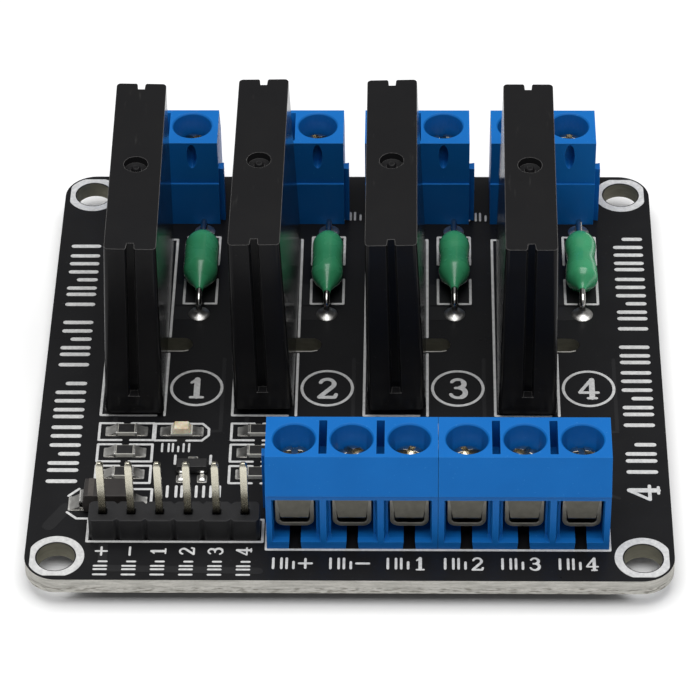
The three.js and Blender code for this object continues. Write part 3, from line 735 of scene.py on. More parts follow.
def tracks():
    """The copper under the mask, on both faces. Places and widths are in millimetres."""
    upper, lower = bmesh.new(), bmesh.new()

    def track(bm, width, *points):
        low = BOARD_TOP if bm is upper else BOARD_UNDER - COPPER
        ribbon(bm, mm_points(points), width * MM, low, low + COPPER)

    outputs = [t for t in TERMINALS if t["rear"]]
    front, rear = FUSE_FRONT_Y / MM, FUSE_REAR_Y / MM
    for channel in CHANNELS:
        x, fuse_x = RELAY_X[channel] / MM, FUSE_X[channel] / MM
        lead = [(RELAY_PLACES[channel] @ Vector((0, y, 0))) / MM for y in RELAY_LEAD_Y]
        ends = [Vector((pole_x(2, pole), TAIL_FROM_WIRE_SIDE, 0)) for pole in (0, 1)]
        tail = [(outputs[channel]["place"] @ end) / MM for end in ends]
        track(lower, 2.2, tail[0].xy, (fuse_x, rear + 1), (fuse_x, rear))
        track(lower, 2.2, (fuse_x, front), (lead[2].x, front), lead[2].xy)
        track(lower, 2.2, tail[1].xy, lead[3].xy)
        track(lower, 0.4, (x, lead[1].y), (x + 2, lead[1].y - 2), (x + 2, -15))
        track(upper, 0.4, (x, lead[0].y), (x - 1.6, -7), (x - 1.6, -8))
        track(upper, 0.35, (x + 5.6, -14.9), (x + 5.6, -16.4), (x + 8, -17.6))
        track(upper, 0.35, (x + 1, -9), (x + 3.5, -9))
        track(upper, 3, (x + 1.2, 10.2), (fuse_x + 0.3, 10.2))
        track(upper, 1.9, (x + 1.2, 7.5), (fuse_x, 7.5))
        track(upper, 0.35, (x + 6, -9), (x + 8.2, -8.9), (x + 8.2, 1))
    track(upper, 1.2, (-27, -21.3), (-25.6, -19))
    pins = [pin.xy / MM for pin in HEADER_PINS]
    track(upper, 0.8, pins[0], (-21.9, -26.6), (-8, -26.9))
    for x, y in pins[2:]:
        track(lower, 0.35, (x, y), (x + 3, y + 5), (x + 9, y + 5))
    track(lower, 1.4, (-26, -18), (-26, -11), (24, -11))
    for bm, name in ((upper, "tracks_top"), (lower, "tracks_underside")):
        piece(name, as_mesh(bm), MASK_ON_COPPER)


# ---- Silkscreen ----

LINE = 0.24 * MM
ROUND_SIDES = 64


def set_out(points, x, y, turn, scale=1.0):
    """Points scaled, turned by degrees and moved to (x, y)."""
    c, s = scale * math.cos(math.radians(turn)), scale * math.sin(math.radians(turn))
    return [(x + a * c - b * s, y + a * s + b * c) for a, b in points]


class Print:
    """Collects flat inked marks on the board's top face into one mesh."""

    def __init__(self):
        self.bm = bmesh.new()

    def line(self, *points, width=LINE):
        ribbon(self.bm, mm_points(points), width, BOARD_TOP, BOARD_TOP + INK, caps=4)

    def frame(self, left, right, front, rear):
        self.line((left, front), (right, front), (right, rear), (left, rear), (left, front))

    def lettering(self, x, y, cap, words, turn=0.0):
        """Rows of upright strokes in the size and rhythm of words, from (x, y) on, in millimetres."""
        along = 0.0
        stroke = 0.16 * cap
        for letters in words:
            for letter in range(letters):
                for offset in (0.0, 0.42 if letter % 3 else 0.5):
                    short = 0.3 * cap if offset and letter % 4 == 1 else 0.0
                    a = along + offset * cap
                    ends = [(a, stroke / 2 - cap / 2), (a, cap / 2 - stroke / 2 - short)]
                    self.line(*set_out(ends, x, y, turn), width=stroke * MM)
                along += 0.82 * cap
            along += 0.5 * cap

    def circle(self, x, y, radius, width):
        outer = ring_points(x * MM, y * MM, (radius + width / 2) * MM, ROUND_SIDES)
        inner = ring_points(x * MM, y * MM, (radius - width / 2) * MM, ROUND_SIDES)
        levels = (BOARD_TOP, BOARD_TOP + INK)
        rings = [[self.bm.verts.new((*p, z)) for p in loop] for z in levels for loop in (outer, inner)]
        for i in range(ROUND_SIDES):
            j = (i + 1) % ROUND_SIDES
            for a, b in ((1, 0), (3, 1), (2, 3), (0, 2)):
                self.bm.faces.new((rings[a][i], rings[a][j], rings[b][j], rings[b][i]))

    def numeral(self, digit, x, y, height, turn=0.0, weight=1.0):
        """A plain numeral, plus or minus about (x, y), in millimetres."""
        h = height / 2
        for thickness, points in STROKES[digit]:
            self.line(*set_out(points, x, y, turn, h), width=thickness * weight * h * MM)


STROKES = {
    "1": [(0.30, [(0.02, -0.86), (0.02, 0.84)]), (0.16, [(-0.34, 0.52), (-0.02, 0.84)]),
          (0.16, [(-0.38, -0.92), (0.42, -0.92)])],
    "2": [(0.20, arc(0, 0.42, 0.46, 165, 10, 9)), (0.24, [*arc(0, 0.42, 0.46, 10, -35, 3), (-0.50, -0.88)]),
          (0.20, [(-0.50, -0.90), (0.52, -0.90), (0.60, -0.62)])],
    "3": [(0.18, arc(0, 0.44, 0.44, 155, 30, 8)), (0.26, arc(0, 0.44, 0.42, 30, -70, 6)),
          (0.16, [(-0.16, 0.04), (0.14, 0.04)]), (0.26, arc(0, -0.42, 0.50, 68, -60, 8)),
          (0.18, arc(0, -0.42, 0.50, -60, -160, 6))],
    "4": [(0.17, [(0.18, 0.88), (-0.60, -0.36)]), (0.17, [(-0.60, -0.38), (0.62, -0.38)]),
          (0.28, [(0.22, 0.86), (0.22, -0.90)]), (0.15, [(-0.06, -0.93), (0.50, -0.93)])],
    "+": [(0.22, [(-0.7, 0), (0.7, 0)]), (0.22, [(0, -0.7), (0, 0.7)])],
    "-": [(0.22, [(-0.7, 0), (0.7, 0)])],
}


def channel_marks(marks, channel):
    x = RELAY_X[channel] / MM
    left, right, front, rear = x - 2.98, x + 2.92, -6.8, 18.3
    slot_front, slot_rear = 1.7, 4.1
    gap_from = left + 0.87 * (right - left)
    marks.line((gap_from, front), (left, front), (left, rear), (right, rear), (right, slot_rear))
    marks.line((right, slot_front), (right, front))
    number_at = (x + 5.75, -3.05)
    marks.circle(*number_at, 2.36, 0.27)
    marks.numeral(str(channel + 1), *number_at, 2.8, weight=1.35)
    fuse = FUSE_X[channel] / MM
    for side in (-1, 1):
        edge, inner = fuse + side * 1.55, fuse + side * 0.5
        marks.line((inner, 8.85), (edge, 8.85), (edge, 12.4))
        marks.line((edge, 14.6), (edge, 18.7), (inner, 18.7))
    for row in range(3):
        y = -9.05 - 2.83 * row
        low, high, mid = y - 1.1, y + 1.15, x - 0.45
        gap = 0.42
        marks.line((mid - gap, low), (x - 2.95, low), (x - 2.95, high), (mid - gap, high))
        marks.line((mid + gap, low), (x + 2.05, low), (x + 2.05, high), (mid + gap, high))
    led, low, high, gap = x + 4.65, -10.2, -7.95, 0.5
    marks.line((led - gap, low), (led - 2.45, low), (led - 2.45, high), (led - gap, high))
    marks.line((led + gap, low), (led + 1.9, low), (led + 2.5, -9.5),
               (led + 2.5, -8.65), (led + 1.9, high), (led + gap, high))
    for beside in (x + 5.85 - 1.62, x + 5.85 + 1.62):
        marks.line((beside, -12.2), (beside, -13.3))
    marks.lettering(led - 1.7, -11.15, 1.2, (3,))


def edge_lettering(marks):
    """Strokes without meaning along both sides, where a maker prints words."""
    marks.numeral("4", 26.5, -16.9, 2.9, turn=90, weight=1.3)
    marks.lettering(26.5, -14.2, 2.9, (2, 5, 6), turn=90)
    marks.lettering(-26.3, -15.6, 2.9, (6, 3, 4), turn=90)
    marks.lettering(-1.2, 21.9, 1.3, (2,))
    marks.lettering(11.1, 21.8, 1.3, (2,))


def terminal_marks(marks):
    labels = ["+", "-", "1", "2", "3", "4"]
    inputs = [t["place"] for t in TERMINALS if not t["rear"]]
    poles = [place @ Vector((pole_x(3, p), 0, 0)) for place in inputs for p in range(3)]
    for label, at in zip(labels, poles):
        x, y = at.x / MM, -25.95
        marks.numeral(label, x + 0.95, y, 1.6, weight=1.3)
        marks.lettering(x - 1.9, y, 1.45, (2,))
    for label, pin in zip(labels, HEADER_PINS):
        x = pin.x / MM
        marks.numeral(label, x - 0.1, -24.5, 1.4, turn=90, weight=1.3)
        marks.lettering(x - 0.1, -27.4, 1.3, (2,), turn=90)
    first, last = poles[0].x / MM - 2.6, poles[-1].x / MM + 2.6
    marks.frame(first, last, -24.25, -17.2)
    marks.frame(HEADER_PINS[0].x / MM - 1.5, HEADER_PINS[-1].x / MM + 1.5, -23.3, -20.5)


def diode_marks(marks):
    marks.line((-23.6, -16.6), (-18.0, -16.6), (-18.0, -20.4), (-24.6, -20.4), (-25.5, -19.6))
    marks.line((-25.5, -17.5), (-24.6, -16.6))
    marks.lettering(-16.6, -16.9, 1.6, (4,))


def silkscreen():
    marks = Print()
    for channel in CHANNELS:
        channel_marks(marks, channel)
    edge_lettering(marks)
    terminal_marks(marks)
    diode_marks(marks)
    piece("silkscreen_marks", as_mesh(marks.bm), WHITE_INK)


# ---- Solder ----


def solder_cone(x, y, lead, radius, height, face_z, direction):
    """A fillet round a lead, which rises from the board with direction 1 and hangs from it with -1."""
    steps = 7
    profile = [(radius, face_z)]
    for i in range(steps + 1):
        t = i / steps
        r = lead + (radius - lead) * (1 - t) ** 2.2 * 0.96
        profile.append((r, face_z + direction * height * (0.06 + 0.94 * t)))
    return lathe(profile, 20, (x, y))


def solder_joints():
    under = bmesh.new()
    for x, y, lead in TAILS:
        under = merge(under, solder_cone(x, y, lead, lead + 0.62 * MM, 1.15 * MM, BOARD_UNDER, -1))
    piece("solder_joints_underside", as_mesh(under, ROUND), SOLDER)
    for channel in CHANNELS:
        for end, y in (("front", FUSE_FRONT_Y), ("rear", FUSE_REAR_Y)):
            cone = solder_cone(FUSE_X[channel], y, LEAD_RADIUS, 1.02 * MM, 0.62 * MM, BOARD_TOP, 1)
            piece(f"fuse_{channel + 1}_solder_{end}", as_mesh(cone, ROUND), SOLDER)


# ---- Relays ----

# The case narrows upwards; its ends are thicker than its sides.
RELAY = {
    "width": 5.46 * MM, "depth": 24.5 * MM, "height": 19.65 * MM, "corner": 0.45 * MM,
    "top_width": 4.65 * MM, "top_depth": 23.87 * MM,
    "wall": 0.75 * MM, "end_wall": 1.38 * MM, "roof": 0.9 * MM,
}


def drafted(outline, low, high):
    """A prism that narrows upwards as the relay's mould does."""
    rings = []
    for z in (low, high):
        share = z / RELAY["height"]
        sx = 1 + (RELAY["top_width"] / RELAY["width"] - 1) * share
        sy = 1 + (RELAY["top_depth"] / RELAY["depth"] - 1) * share
        rings.append(at_height([(x * sx, y * sy) for x, y in outline], z))
    return loft(rings)


def relay_groove(end):
    """The groove in a short end: a flared mouth and a flat floor, open at the top."""
    edge = RELAY["depth"] / 2
    half = [(0.62, 0.2), (0.56, 0.0), (0.42, -0.16), (0.36, -0.86)]
    points = [(x * MM, end * (edge + y * MM)) for x, y in half]
    points += [(-x, y) for x, y in reversed(points)]
    return drafted(points, 2.05 * MM, RELAY["height"] + 1 * MM)


def relay_case_mesh():
    width, depth, height, corner = (RELAY[key] for key in ("width", "depth", "height", "corner"))
    body = drafted(rounded(width, depth, corner, 6), 0, height)
    inner = rounded(width - 2 * RELAY["wall"], depth - 2 * RELAY["end_wall"], corner, 4)
    hollow = drafted(inner, -1 * MM, height - RELAY["roof"])
    top = height / MM
    dimple = lathe(mm_points([(0.8, top - 0.7), (1.0, top - 0.6), (1.12, top + 0.1)]), 40)
    nub = lathe(mm_points([(0.5, top - 0.8), (0.42, top - 0.5), (0.26, top - 0.34)]), 24)
    case = carve(body, [hollow, relay_groove(-1), relay_groove(1), dimple], [nub])
    return soften(case, 0.13 * MM, 3)


def relay_inner_mesh():
    """The carrier board with its chips, and the resin that closes the case."""
    resin = prism(rounded(3.3 * MM, 21.0 * MM, 0.4 * MM, 3), 0.25 * MM, 1.4 * MM)
    carrier = mm_box((-0.4, -9.9, 1), (0.4, 9.9, 17.5))
    triac = mm_box((0.3, 2.2, 5.5), (1.45, 8.6, 13.8))
    coupler = mm_box((0.3, -8.4, 4.6), (1.5, -3.8, 11.2))
    snubber = mm_box((-1.4, -1.5, 6), (-0.3, 4, 11))
    return soften(carve(resin, [], [carrier, triac, coupler, snubber]), 0.06 * MM, 1)


def relay_leads_mesh(place):
    """Four flat leads from the resin down to the common tail level."""
    bm = bmesh.new()
    lowest = (place.inverted() @ Vector((place.translation.x, place.translation.y, TAIL_Z))).z
    tip, full = (0.16 * MM, 0.28 * MM), (0.25 * MM, 0.4 * MM)
    levels = ((lowest, tip), (lowest + 0.3 * MM, full), (1.0 * MM, full))
    for y in RELAY_LEAD_Y:
        add_loft(bm, [at_height(rectangle(0, y, *half), z) for z, half in levels])
    bmesh.ops.recalc_face_normals(bm, faces=bm.faces)
    return as_mesh(bm, 30)


def relays():
    case, inner = relay_case_mesh(), relay_inner_mesh()
    for channel, place in enumerate(RELAY_PLACES):
        name = f"relay_{channel + 1}"
        piece(f"{name}_shell", case, RELAY_PLASTIC, ROOT_BODY, place, (f"{name}_case",))
        piece(f"{name}_inside", inner, RELAY_RESIN, ROOT_BODY, place, (f"{name}_core",))
        piece(f"{name}_leads", relay_leads_mesh(place), LEAD_METAL, place=place)


# ---- Screw terminals ----
# In a terminal's own frame the wire side is y = 0 and faces -Y, and z = 0 is on the board.

BLOCK = {"height": 10.0, "depth": 6.57, "lip": 6.55, "top_front": 1.43, "foot_step": 0.2, "foot": 5.04}
WELL_Y = 3.8


def mm_points(points):
    return [(a * MM, b * MM) for a, b in points]


def housing_blank(width):
    depth, height, lip, foot = (BLOCK[key] for key in ("depth", "height", "lip", "foot"))
    foot_depth = depth + BLOCK["foot_step"]
    profile = mm_points([
        (0.06, 0), (foot_depth, 0), (foot_depth, foot), (depth, foot), (depth, height),
        (BLOCK["top_front"], height), (0, lip), (0.16, lip - 0.12), (0.06, 0.8),
    ])
    return prism(profile, -width / 2, width / 2, "x")


def window_cut(left, right):
    """The wire entry: its walls draw in a little towards the clamp."""
    rings = []
    for y, inset in ((-0.5, -0.02), (0.06, 0.0), (1.0, 0.22)):
        low, high = 0.85 + inset * 0.6, 5.95 - inset * 0.3
        near, far = left + inset, right - inset
        corners = ((near, low), (far, low), (far, high), (near, high))
        rings.append([Vector((x * MM, y * MM, z * MM)) for x, z in corners])
    return loft(rings)


def pole_cuts(x, width):
    """Everything that is hollow at the pole in x, all in millimetres."""
    reach, outer_wall = 2.28, 0.5
    left, right = max(x - reach, outer_wall - width / 2), min(x + reach, width / 2 - outer_wall)
    chamber = mm_box((x - 1.88, 0.6, 0.85), (x + 1.88, 5.13, 6.25))
    well_profile = mm_points([(1.85, 6.1), (1.87, 9.86), (2.02, 10.02), (2.02, 10.5)])
    well = lathe(well_profile, 48, (x * MM, WELL_Y * MM))
    notch = mm_points([(x - 0.62, -0.5), (x + 0.62, -0.5), (x + 0.48, 1.2), (x - 0.48, 1.2)])
    recess = []
    for y, share in ((BLOCK["depth"] - 0.85, 0.75), (BLOCK["depth"] + 0.3, 1.05)):
        ring = [(x + 0.5 * a, 8.35 + 1.5 * b) for a, b in ring_points(0, 0, share, 24)]
        recess.append([Vector((a * MM, y * MM, b * MM)) for a, b in ring])
    return [window_cut(left, right), chamber, well, prism(notch, -0.5 * MM, 3.4 * MM, "y"), loft(recess)]


def housing_mesh(poles):
    """The moulding, with a rail on one side that fits the groove in the next one's side."""
    width = poles * PITCH / MM - 0.04
    side = width / 2
    rail = mm_points([(-side - 0.5, 5.2), (-side + 0.2, 5.35), (-side + 0.2, 6.05), (-side - 0.5, 6.2)])
    groove = mm_points([(side - 0.6, 5.1), (side + 0.3, 5.3), (side + 0.3, 6.1), (side - 0.6, 6.3)])
    cuts = [prism(groove, -0.5 * MM, 6.6 * MM)]
    for pole in range(poles):
        cuts += pole_cuts(pole_x(poles, pole) / MM, width)
    for gap in range(1, poles):
        x = (pole_x(poles, gap - 1) + pole_x(poles, gap)) / 2 / MM
        cuts.append(mm_box((x - 0.36, 1.85, 6.8), (x + 0.36, 6.13, 10.5)))
    body = carve(housing_blank(width * MM), cuts, [prism(rail, 0, 6.5 * MM)])
    return soften(body, 0.07 * MM, 2)


def cage_mesh():
    """The rising clamp: a stamped strip folded into a frame, with the threaded plate on top."""
    def ring(inset, corner):
        x, low, high = 1.75 - inset, 2.2 + inset, 5.6 - inset * 1.2
        points = [(x, high), (-x, high)]
        points += arc(-x + corner, low + corner, corner, 180, 270, 6)
        points += arc(x - corner, low + corner, corner, 270, 360, 6)
        return mm_points(points)
    outside = prism(ring(0, 0.85), 0.72 * MM, 5.05 * MM, "y")
    inside = prism(ring(0.45, 0.4), 0.4 * MM, 5.4 * MM, "y")
    hole = lathe([(1.07 * MM, 4 * MM), (1.07 * MM, 6 * MM)], 32, (0, WELL_Y * MM))
    return soften(carve(outside, [inside, hole]), 0.07 * MM, 2)


def contact_mesh():
    """The fixed contact: the bar inside the cage, the bent-up lip in front of it, and the solder tail."""
    sheet = 0.28
    outer = [(0.62, 3.42), (0.42, 3.5), (0.32, 3.7), (0.34, 4.2), (0.46, 6.7)]
    inner = [(y + sheet, z + (0.2 if z < 4 else 0)) for y, z in reversed(outer)]

    def half_width(z):
        return 1.2 + 0.45 * max(0.0, min(1.0, (z - 3.5) / 3.0))

    def lip_side(side):
        return [Vector((side * half_width(z) * MM, y * MM, z * MM)) for y, z in outer + inner]

    lip = loft([lip_side(-1), lip_side(1)])
    bar = mm_box((-1.1, 0.6, 3.42), (1.1, 5.75, 3.85))
    leg = mm_box((-0.5, 5.2, (TAIL_Z - BOARD_TOP) / MM + 0.3), (0.5, 5.75, 3.8))
    tip = []
    for rise, half_x, half_y in ((0, 0.3, 0.16), (0.35, 0.5, 0.27)):
        outline = rectangle(0, TAIL_FROM_WIRE_SIDE, half_x * MM, half_y * MM)
        tip.append(at_height(outline, TAIL_Z - BOARD_TOP + rise * MM))
    return soften(carve(lip, [], [bar, leg, loft(tip)]), 0.05 * MM, 1)


def screw_mesh():
    """A slotted screw with a turned head and a ridged shank that stands for its thread."""
    profile = [(0.65, 3.95), (0.8, 4.0)]
    z = 4.05
    while z < 6.1:
        profile += [(0.84, z), (1.0, z + 0.18), (1.0, z + 0.22)]
        z += 0.4
    profile += [(0.85, 6.48), (1.5, 6.5), (1.62, 6.6), (1.65, 6.8), (1.65, 7.4), (1.6, 7.55)]
    profile += [(1.46, 7.76), (1.2, 8.0), (0.8, 8.22), (0.35, 8.3)]
    slot = mm_box((-0.3, -2, 7.35), (0.3, 2, 8.5))
    cross = mm_box((-1.1, -0.27, 7.45), (1.1, 0.27, 8.5))
    return soften(carve(lathe(mm_points(profile), 40), [slot, cross]), 0.04 * MM, 2, angle=40)


# Each screw rests turned by this much from the one before.
REST_STEP = math.radians(37)


def terminals():
    housings = {poles: housing_mesh(poles) for poles in (2, 3)}
    cage, contact, screw = cage_mesh(), contact_mesh(), screw_mesh()
    placed = 0
    for block in TERMINALS:
        name, poles, place = block["name"], block["poles"], block["place"]
        node = f"{name}_housing"
        piece(f"{name}_moulding", housings[poles], BLUE_NYLON, ROOT_BODY, place, (node,))
        for pole in range(poles):
            number = poles - pole if block["rear"] else pole + 1
            at = place @ Matrix.Translation((pole_x(poles, pole), 0, 0))
            turn = Matrix.Rotation(REST_STEP * placed, 4, "Z")
            turned = at @ Matrix.Translation((0, WELL_Y * MM, 0)) @ turn
            piece(f"{name}_contact_{number}", contact, CONTACT_METAL, place=at)
            node = f"{name}_clamp_{number}"
            piece(f"{node}_cage", cage, CAGE_METAL, node, at, (node,))
            node = f"{name}_screw_{number}"
            piece(f"{node}_slotted", screw, SCREW_METAL, node, turned, (node,))
            placed += 1


# ---- Pin header ----


def square_bar(at, levels):
    """An upright square bar at a place, through (height, half width) levels."""
    return loft([at_height(rectangle(at.x, at.y, half, half), z) for z, half in levels])


def header_body():
    low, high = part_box("pin_header_body")
    chamfer, half_pitch = 0.3 * MM, 1.27 * MM
    front, rear = [], []
    for pin in HEADER_PINS:
        left, right = pin.x - half_pitch, pin.x + half_pitch
        front += [(left, low.y + chamfer), (left + chamfer, low.y), (right - chamfer, low.y)]
        rear += [(left, high.y - chamfer), (left + chamfer, high.y), (right - chamfer, high.y)]
    end = HEADER_PINS[-1].x + half_pitch
    outline = [*front, (end, low.y + chamfer), (end, high.y - chamfer), *reversed(rear)]
    funnel = ((low.z - MM, 0.35 * MM), (high.z - 0.1 * MM, 0.35 * MM), (high.z + 0.02 * MM, 0.42 * MM))
    holes = [square_bar(pin, funnel) for pin in HEADER_PINS]
    mesh = soften(carve(prism(outline, low.z, high.z), holes), 0.05 * MM, 2)
    piece("pin_header_moulding", mesh, HEADER_PLASTIC, stands_for=("pin_header_body",))


def header_pins():
    full, tip, taper = 0.32 * MM, 0.15 * MM, 0.4 * MM
    for number, at in enumerate(HEADER_PINS, 1):
        node = f"pin_header_pin_{number}"
        low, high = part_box(node)
        levels = ((low.z, tip), (low.z + taper, full), (high.z - taper, full), (high.z, tip))
        pin = soften(square_bar(at, levels), 0.03 * MM, 2)
        piece(f"{node}_square", pin, PIN_METAL, stands_for=(node,))


# ---- Fuses ----

# The four were dipped by hand, so they differ in length, girth and waist.
FUSES = [
    {"front": 8.87 * MM, "radius": 1.66 * MM, "waist": 0.02 * MM, "cone": 2.8 * MM},
    {"front": 8.53 * MM, "radius": 1.52 * MM, "waist": 0.06 * MM, "cone": 2.8 * MM},
    {"front": 9.07 * MM, "radius": 1.52 * MM, "waist": 0.13 * MM, "cone": 2.6 * MM},
    {"front": 8.92 * MM, "radius": 1.54 * MM, "waist": 0.20 * MM, "cone": 1.7 * MM},
]
REAR_END = 17.1 * MM
REAR_CONE = 1.9 * MM
WAIST_Y = 13.5 * MM
WAIST_REACH = 1.2 * MM


def fuse_body_mesh(channel):
    """A dipped body: two bulbs with a waist between them, drawn out to a cone on each lead."""
    fuse = FUSES[channel]
    length = REAR_END - fuse["front"]
    thin = LEAD_RADIUS * 1.15
    steps = 48
    rings = []
    for i in range(steps + 1):
        y = fuse["front"] + length * i / steps
        front_share = min(1.0, (y - fuse["front"]) / fuse["cone"])
        rear_share = min(1.0, (REAR_END - y) / REAR_CONE)
        swell = math.sin(math.pi / 2 * front_share) ** 1.7 * math.sin(math.pi / 2 * rear_share) ** 0.7
        waist = fuse["waist"] * math.exp(-(((y - WAIST_Y) / WAIST_REACH) ** 2))
        radius = thin + (fuse["radius"] - thin) * swell - waist * swell
        around = ring_points(FUSE_X[channel], FUSE_AXIS_Z, radius, 36)
        rings.append([Vector((x, y, z)) for x, z in around])
    return as_mesh(loft(rings), 70)


def tube(points, radius, sides=14):
    """A round wire along a line of points."""
    rings = []
    for i, point in enumerate(points):
        before, after = points[max(i - 1, 0)], points[min(i + 1, len(points) - 1)]
        along = (after - before).normalized()
        across = Vector((1, 0, 0))
        other = along.cross(across).normalized()
        rings.append([point + across * a + other * b for a, b in ring_points(0, 0, radius, sides)])
    return loft(rings)


def fuse_lead_mesh(channel, foot_y, body_y):
    x = FUSE_X[channel]
    towards = 1 if body_y > foot_y else -1
    bend = 0.85 * MM
    points = [Vector((x, foot_y, TAIL_Z)), Vector((x, foot_y, BOARD_TOP))]
    for i in range(9):
        a = math.pi / 2 * i / 8
        y = foot_y + towards * bend * (1 - math.cos(a))
        points.append(Vector((x, y, FUSE_AXIS_Z - bend + bend * math.sin(a))))
    points.append(Vector((x, body_y + towards * 0.4 * MM, FUSE_AXIS_Z)))
    return as_mesh(tube(points, LEAD_RADIUS), ROUND)


def fuses():
    for channel in CHANNELS:
        name = f"fuse_{channel + 1}"
        piece(f"{name}_body", fuse_body_mesh(channel), FUSE_GREEN, stands_for=(name,))
        front_end = FUSES[channel]["front"]
        for end, foot_y, body_y in (("front", FUSE_FRONT_Y, front_end), ("rear", FUSE_REAR_Y, REAR_END)):
            lead = fuse_lead_mesh(channel, foot_y, body_y)
            piece(f"{name}_lead_{end}", lead, LEAD_METAL)


# ---- Surface-mount parts ----


CHIP_BASE = BOARD_TOP + 0.02 * MM
PAD_TOP = BOARD_TOP + INK * 1.5


def pad(x, y, width, depth):
    return prism(rounded(width * MM, depth * MM, 0.12 * MM, 3, x, y), BOARD_TOP, PAD_TOP)


def stack(levels, corner):
    """A body through rounded rectangles, each (height, half width, half depth), in millimetres."""
    return loft([at_height(rounded(2 * x * MM, 2 * y * MM, corner * MM, 3), z * MM) for z, x, y in levels])


def wedge(x, y, towards, reach, height, depth):
    """A solder fillet from a chip's end down to its pad, hollow in section."""
    steps = 5
    section = [(0.0, 0.0)]
    for i in range(steps + 1):
        t = i / steps
        section.append((reach * (1 - t), height * t ** 1.35))
    outline = [(x + towards * a * MM, BOARD_TOP + INK + b * MM) for a, b in section]
    return prism(outline, y - depth / 2 * MM, y + depth / 2 * MM, "y")


def chip_solder(name, x, y, half_length, reach, height, depth):
    """A pad and a fillet at each end of a chip about (x, y), with its measures in millimetres."""
    bm = bmesh.new()
    for side in (-1, 1):
        end = x + side * half_length * MM
        pad_x = end + side * (reach / 2 - 0.15) * MM
        bm = merge(bm, pad(pad_x, y, reach + 0.5, depth + 0.1), wedge(end, y, side, reach, height, depth))
    piece(f"{name}_solder", as_mesh(bm, ROUND), SOLDER)


def resistor(channel, row, x, y):
    name = f"resistor_{3 * channel + row + 1}"
    place = Matrix.Translation((x, y, CHIP_BASE))
    stands_for = (f"resistor_{row + 1}",) if channel == 0 else ()
    body = mm_box((-0.82, -0.62, 0), (0.82, 0.62, 0.42))
    left_end = mm_box((-1.0, -0.625, -0.01), (-0.78, 0.625, 0.46))
    ends = merge(left_end, mm_box((0.78, -0.625, -0.01), (1.0, 0.625, 0.46)))
    coat = mm_box((-0.74, -0.54, 0.42), (0.74, 0.54, 0.47))
    piece(f"{name}_ceramic", soften(body, 0.02 * MM, 1), CERAMIC, ROOT_BODY, place, stands_for)
    piece(f"{name}_ends", soften(ends, 0.04 * MM, 2), SOLDER, place=place)
    piece(f"{name}_coat", soften(coat, 0.03 * MM, 2), CHIP_BLACK, place=place)
    chip_solder(name, x, y, 1.0, 0.85, 0.4, 1.15)


def led(channel, x, y):
    name = f"channel_{channel + 1}_led"
    place = Matrix.Translation((x, y, CHIP_BASE))
    stands_for = ("channel_led",) if channel == 0 else ()
    lens = stack(((0.28, 0.88, 0.62), (0.85, 0.66, 0.5), (0.9, 0.6, 0.44)), 0.08)
    base = mm_box((-1.0, -0.62, 0), (1.0, 0.62, 0.3))
    piece(f"{name}_lens", soften(lens, 0.03 * MM, 2), LED_RESIN, ROOT_BODY, place, stands_for)
    piece(f"{name}_base", soften(base, 0.03 * MM, 2), CERAMIC, place=place)
    chip_solder(name, x, y, 1.0, 0.9, 0.3, 1.1)


LEGS = ((-0.95, -1), (0.95, -1), (0, 1))


def gull_leg(x, side):
    """A small outline transistor's leg, bent twice."""
    sheet = 0.13
    line = [(0.55, 0.5), (0.82, 0.5), (0.92, 0.42), (0.98, 0.12), (1.06, 0.06), (1.25, 0.06)]
    upper = [(y, z + sheet / 2) for y, z in line]
    lower = [(y - (0.05 if 0.9 < y < 1.1 else 0), z - sheet / 2) for y, z in line]
    points = mm_points([(side * y, z) for y, z in upper + lower[::-1]])
    return prism(points, (x - 0.2) * MM, (x + 0.2) * MM, "x")


def transistor(channel, x, y):
    name = f"channel_{channel + 1}_transistor"
    place = Matrix.Translation((x, y, CHIP_BASE))
    stands_for = ("channel_transistor",) if channel == 0 else ()
    body = stack(((0.08, 1.36, 0.58), (0.45, 1.46, 0.66), (0.56, 1.46, 0.66), (0.93, 1.34, 0.54)), 0.06)
    legs = merge(*[gull_leg(*leg) for leg in LEGS])
    bmesh.ops.recalc_face_normals(legs, faces=legs.faces)
    piece(f"{name}_body", soften(body, 0.04 * MM, 2), CHIP_BLACK, ROOT_BODY, place, stands_for)
    piece(f"{name}_legs", soften(legs, 0.02 * MM, 1), LEAD_METAL, place=place)
    joints = bmesh.new()
    for leg_x, side in LEGS:
        at = (x + leg_x * MM, y + side * 1.22 * MM)
        mound = []
        for z, reach in ((0.0, 0.42), (0.1, 0.38), (0.22, 0.26), (0.27, 0.12)):
            outline = rounded(2 * reach * MM, 2 * (reach + 0.04) * MM, reach * 0.6 * MM, 4, *at)
            mound.append(at_height(outline, BOARD_TOP + INK + z * MM))
        joints = merge(joints, pad(*at, 0.9, 1.0), loft(mound))
    piece(f"{name}_solder", as_mesh(joints, ROUND), SOLDER)


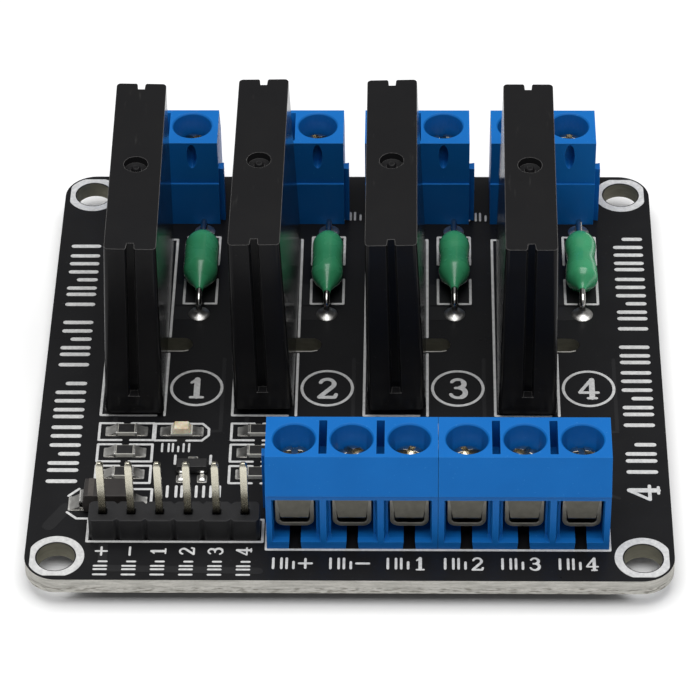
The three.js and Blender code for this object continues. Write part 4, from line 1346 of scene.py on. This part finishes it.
def diode():
    name = "supply_diode"
    at = middle(name)
    place = Matrix.Translation((at.x, at.y, CHIP_BASE))
    body = stack(((0.1, 2.08, 1.2), (0.95, 2.16, 1.3), (1.1, 2.16, 1.3), (2.1, 1.98, 1.14)), 0.12)
    sheet = 0.2
    line = [(1.9, 1.1), (2.35, 1.1), (2.48, 0.98), (2.52, 0.3), (2.4, 0.1), (1.5, 0.1)]
    inner = [(x - (sheet if z > 0.3 else -0.02), z - (sheet if z > 0.9 else -sheet)) for x, z in line]
    straps = bmesh.new()
    for side in (-1, 1):
        points = mm_points([(side * x, z) for x, z in line + inner[::-1]])
        straps = merge(straps, prism(points, -0.72 * MM, 0.72 * MM, "y"))
    bmesh.ops.recalc_face_normals(straps, faces=straps.faces)
    band = mm_box((-1.62, -1.142, 2.08), (-1.12, 1.142, 2.115))
    piece(f"{name}_body", soften(body, 0.06 * MM, 2), DIODE_BROWN, ROOT_BODY, place, (name,))
    piece(f"{name}_straps", as_mesh(straps, 30), LEAD_METAL, place=place)
    piece(f"{name}_band", as_mesh(band), FADED_PRINT, place=place)
    chip_solder(name, at.x, at.y, 2.45, 1.0, 0.5, 1.7)


def surface_parts():
    """The first channel's parts where the frame has them, and the same for the other channels."""
    led_at, transistor_at = middle("channel_led"), middle("channel_transistor")
    for channel in CHANNELS:
        shift = CHANNEL_STEP * channel
        for row in range(3):
            at = middle(f"resistor_{row + 1}")
            resistor(channel, row, at.x + shift, at.y)
        led(channel, led_at.x + shift, led_at.y)
        transistor(channel, transistor_at.x + shift, transistor_at.y)
    diode()


# ---- Stage, lights and camera ----


def floor():
    reach, thickness = 3.0, 0.01
    top = CAD_BOX[0].z - 0.05 * MM
    bm = box((-reach, -reach, top - thickness), (reach, reach, top))
    s = Surface("pale_floor", specular=0.2)
    cloud = s.noise(40 * MM)
    mesh = as_mesh(bm)
    mesh.materials.append(s.finish(s.mix(cloud, (0.93, 0.93, 0.93), (0.95, 0.95, 0.95)), 0.7))
    new_object("floor", mesh)


TOP_LIGHT = {"place": Vector((0.0, -0.04, 0.75)), "side": 0.9, "power": 8.4}
WORLD_STRENGTH = 0.2


def lights():
    data = bpy.data.lights.new("top_light", "AREA")
    data.shape = "RECTANGLE"
    data.size = data.size_y = TOP_LIGHT["side"]
    data.energy = TOP_LIGHT["power"]
    made = new_object("top_light", data)
    made.location = TOP_LIGHT["place"]
    made.rotation_euler = (Vector() - TOP_LIGHT["place"]).to_track_quat("-Z", "Y").to_euler()
    world = bpy.data.worlds.new("studio")
    world.use_nodes = True
    background = world.node_tree.nodes["Background"]
    background.inputs["Color"].default_value = (1, 1, 1, 1)
    background.inputs["Strength"].default_value = WORLD_STRENGTH
    bpy.context.scene.world = world
    bpy.context.scene.view_settings.view_transform = "Standard"


# Fitted to the photograph: the place in the frame, degrees of turn, and a long lens.
CAMERA = {
    "place": Vector((5.975, -250.139, 229.846)) * MM,
    "pitch": 42.111, "yaw": -1.431, "roll": -0.839, "lens": 185.34,
}


def camera():
    pitch, yaw, roll = (math.radians(CAMERA[key]) for key in ("pitch", "yaw", "roll"))
    ahead = Vector((math.sin(yaw) * math.cos(pitch), math.cos(yaw) * math.cos(pitch), -math.sin(pitch)))
    level = Vector((math.cos(yaw), -math.sin(yaw), 0))
    up = level.cross(ahead)
    right = level * math.cos(roll) + up * math.sin(roll)
    above = up * math.cos(roll) - level * math.sin(roll)
    data = bpy.data.cameras.new("camera")
    data.lens = CAMERA["lens"]
    data.sensor_width = 36
    data.clip_start, data.clip_end = 0.01, 20
    made = new_object("camera", data)
    turn = Matrix((right, above, -ahead)).transposed().to_4x4()
    made.matrix_world = Matrix.Translation(CAMERA["place"]) @ turn
    bpy.context.scene.camera = made


circuit_board()
fixing_rings()
slot_rims()
tracks()
silkscreen()
solder_joints()
relays()
terminals()
header_body()
header_pins()
fuses()
surface_parts()
floor()
lights()
camera()
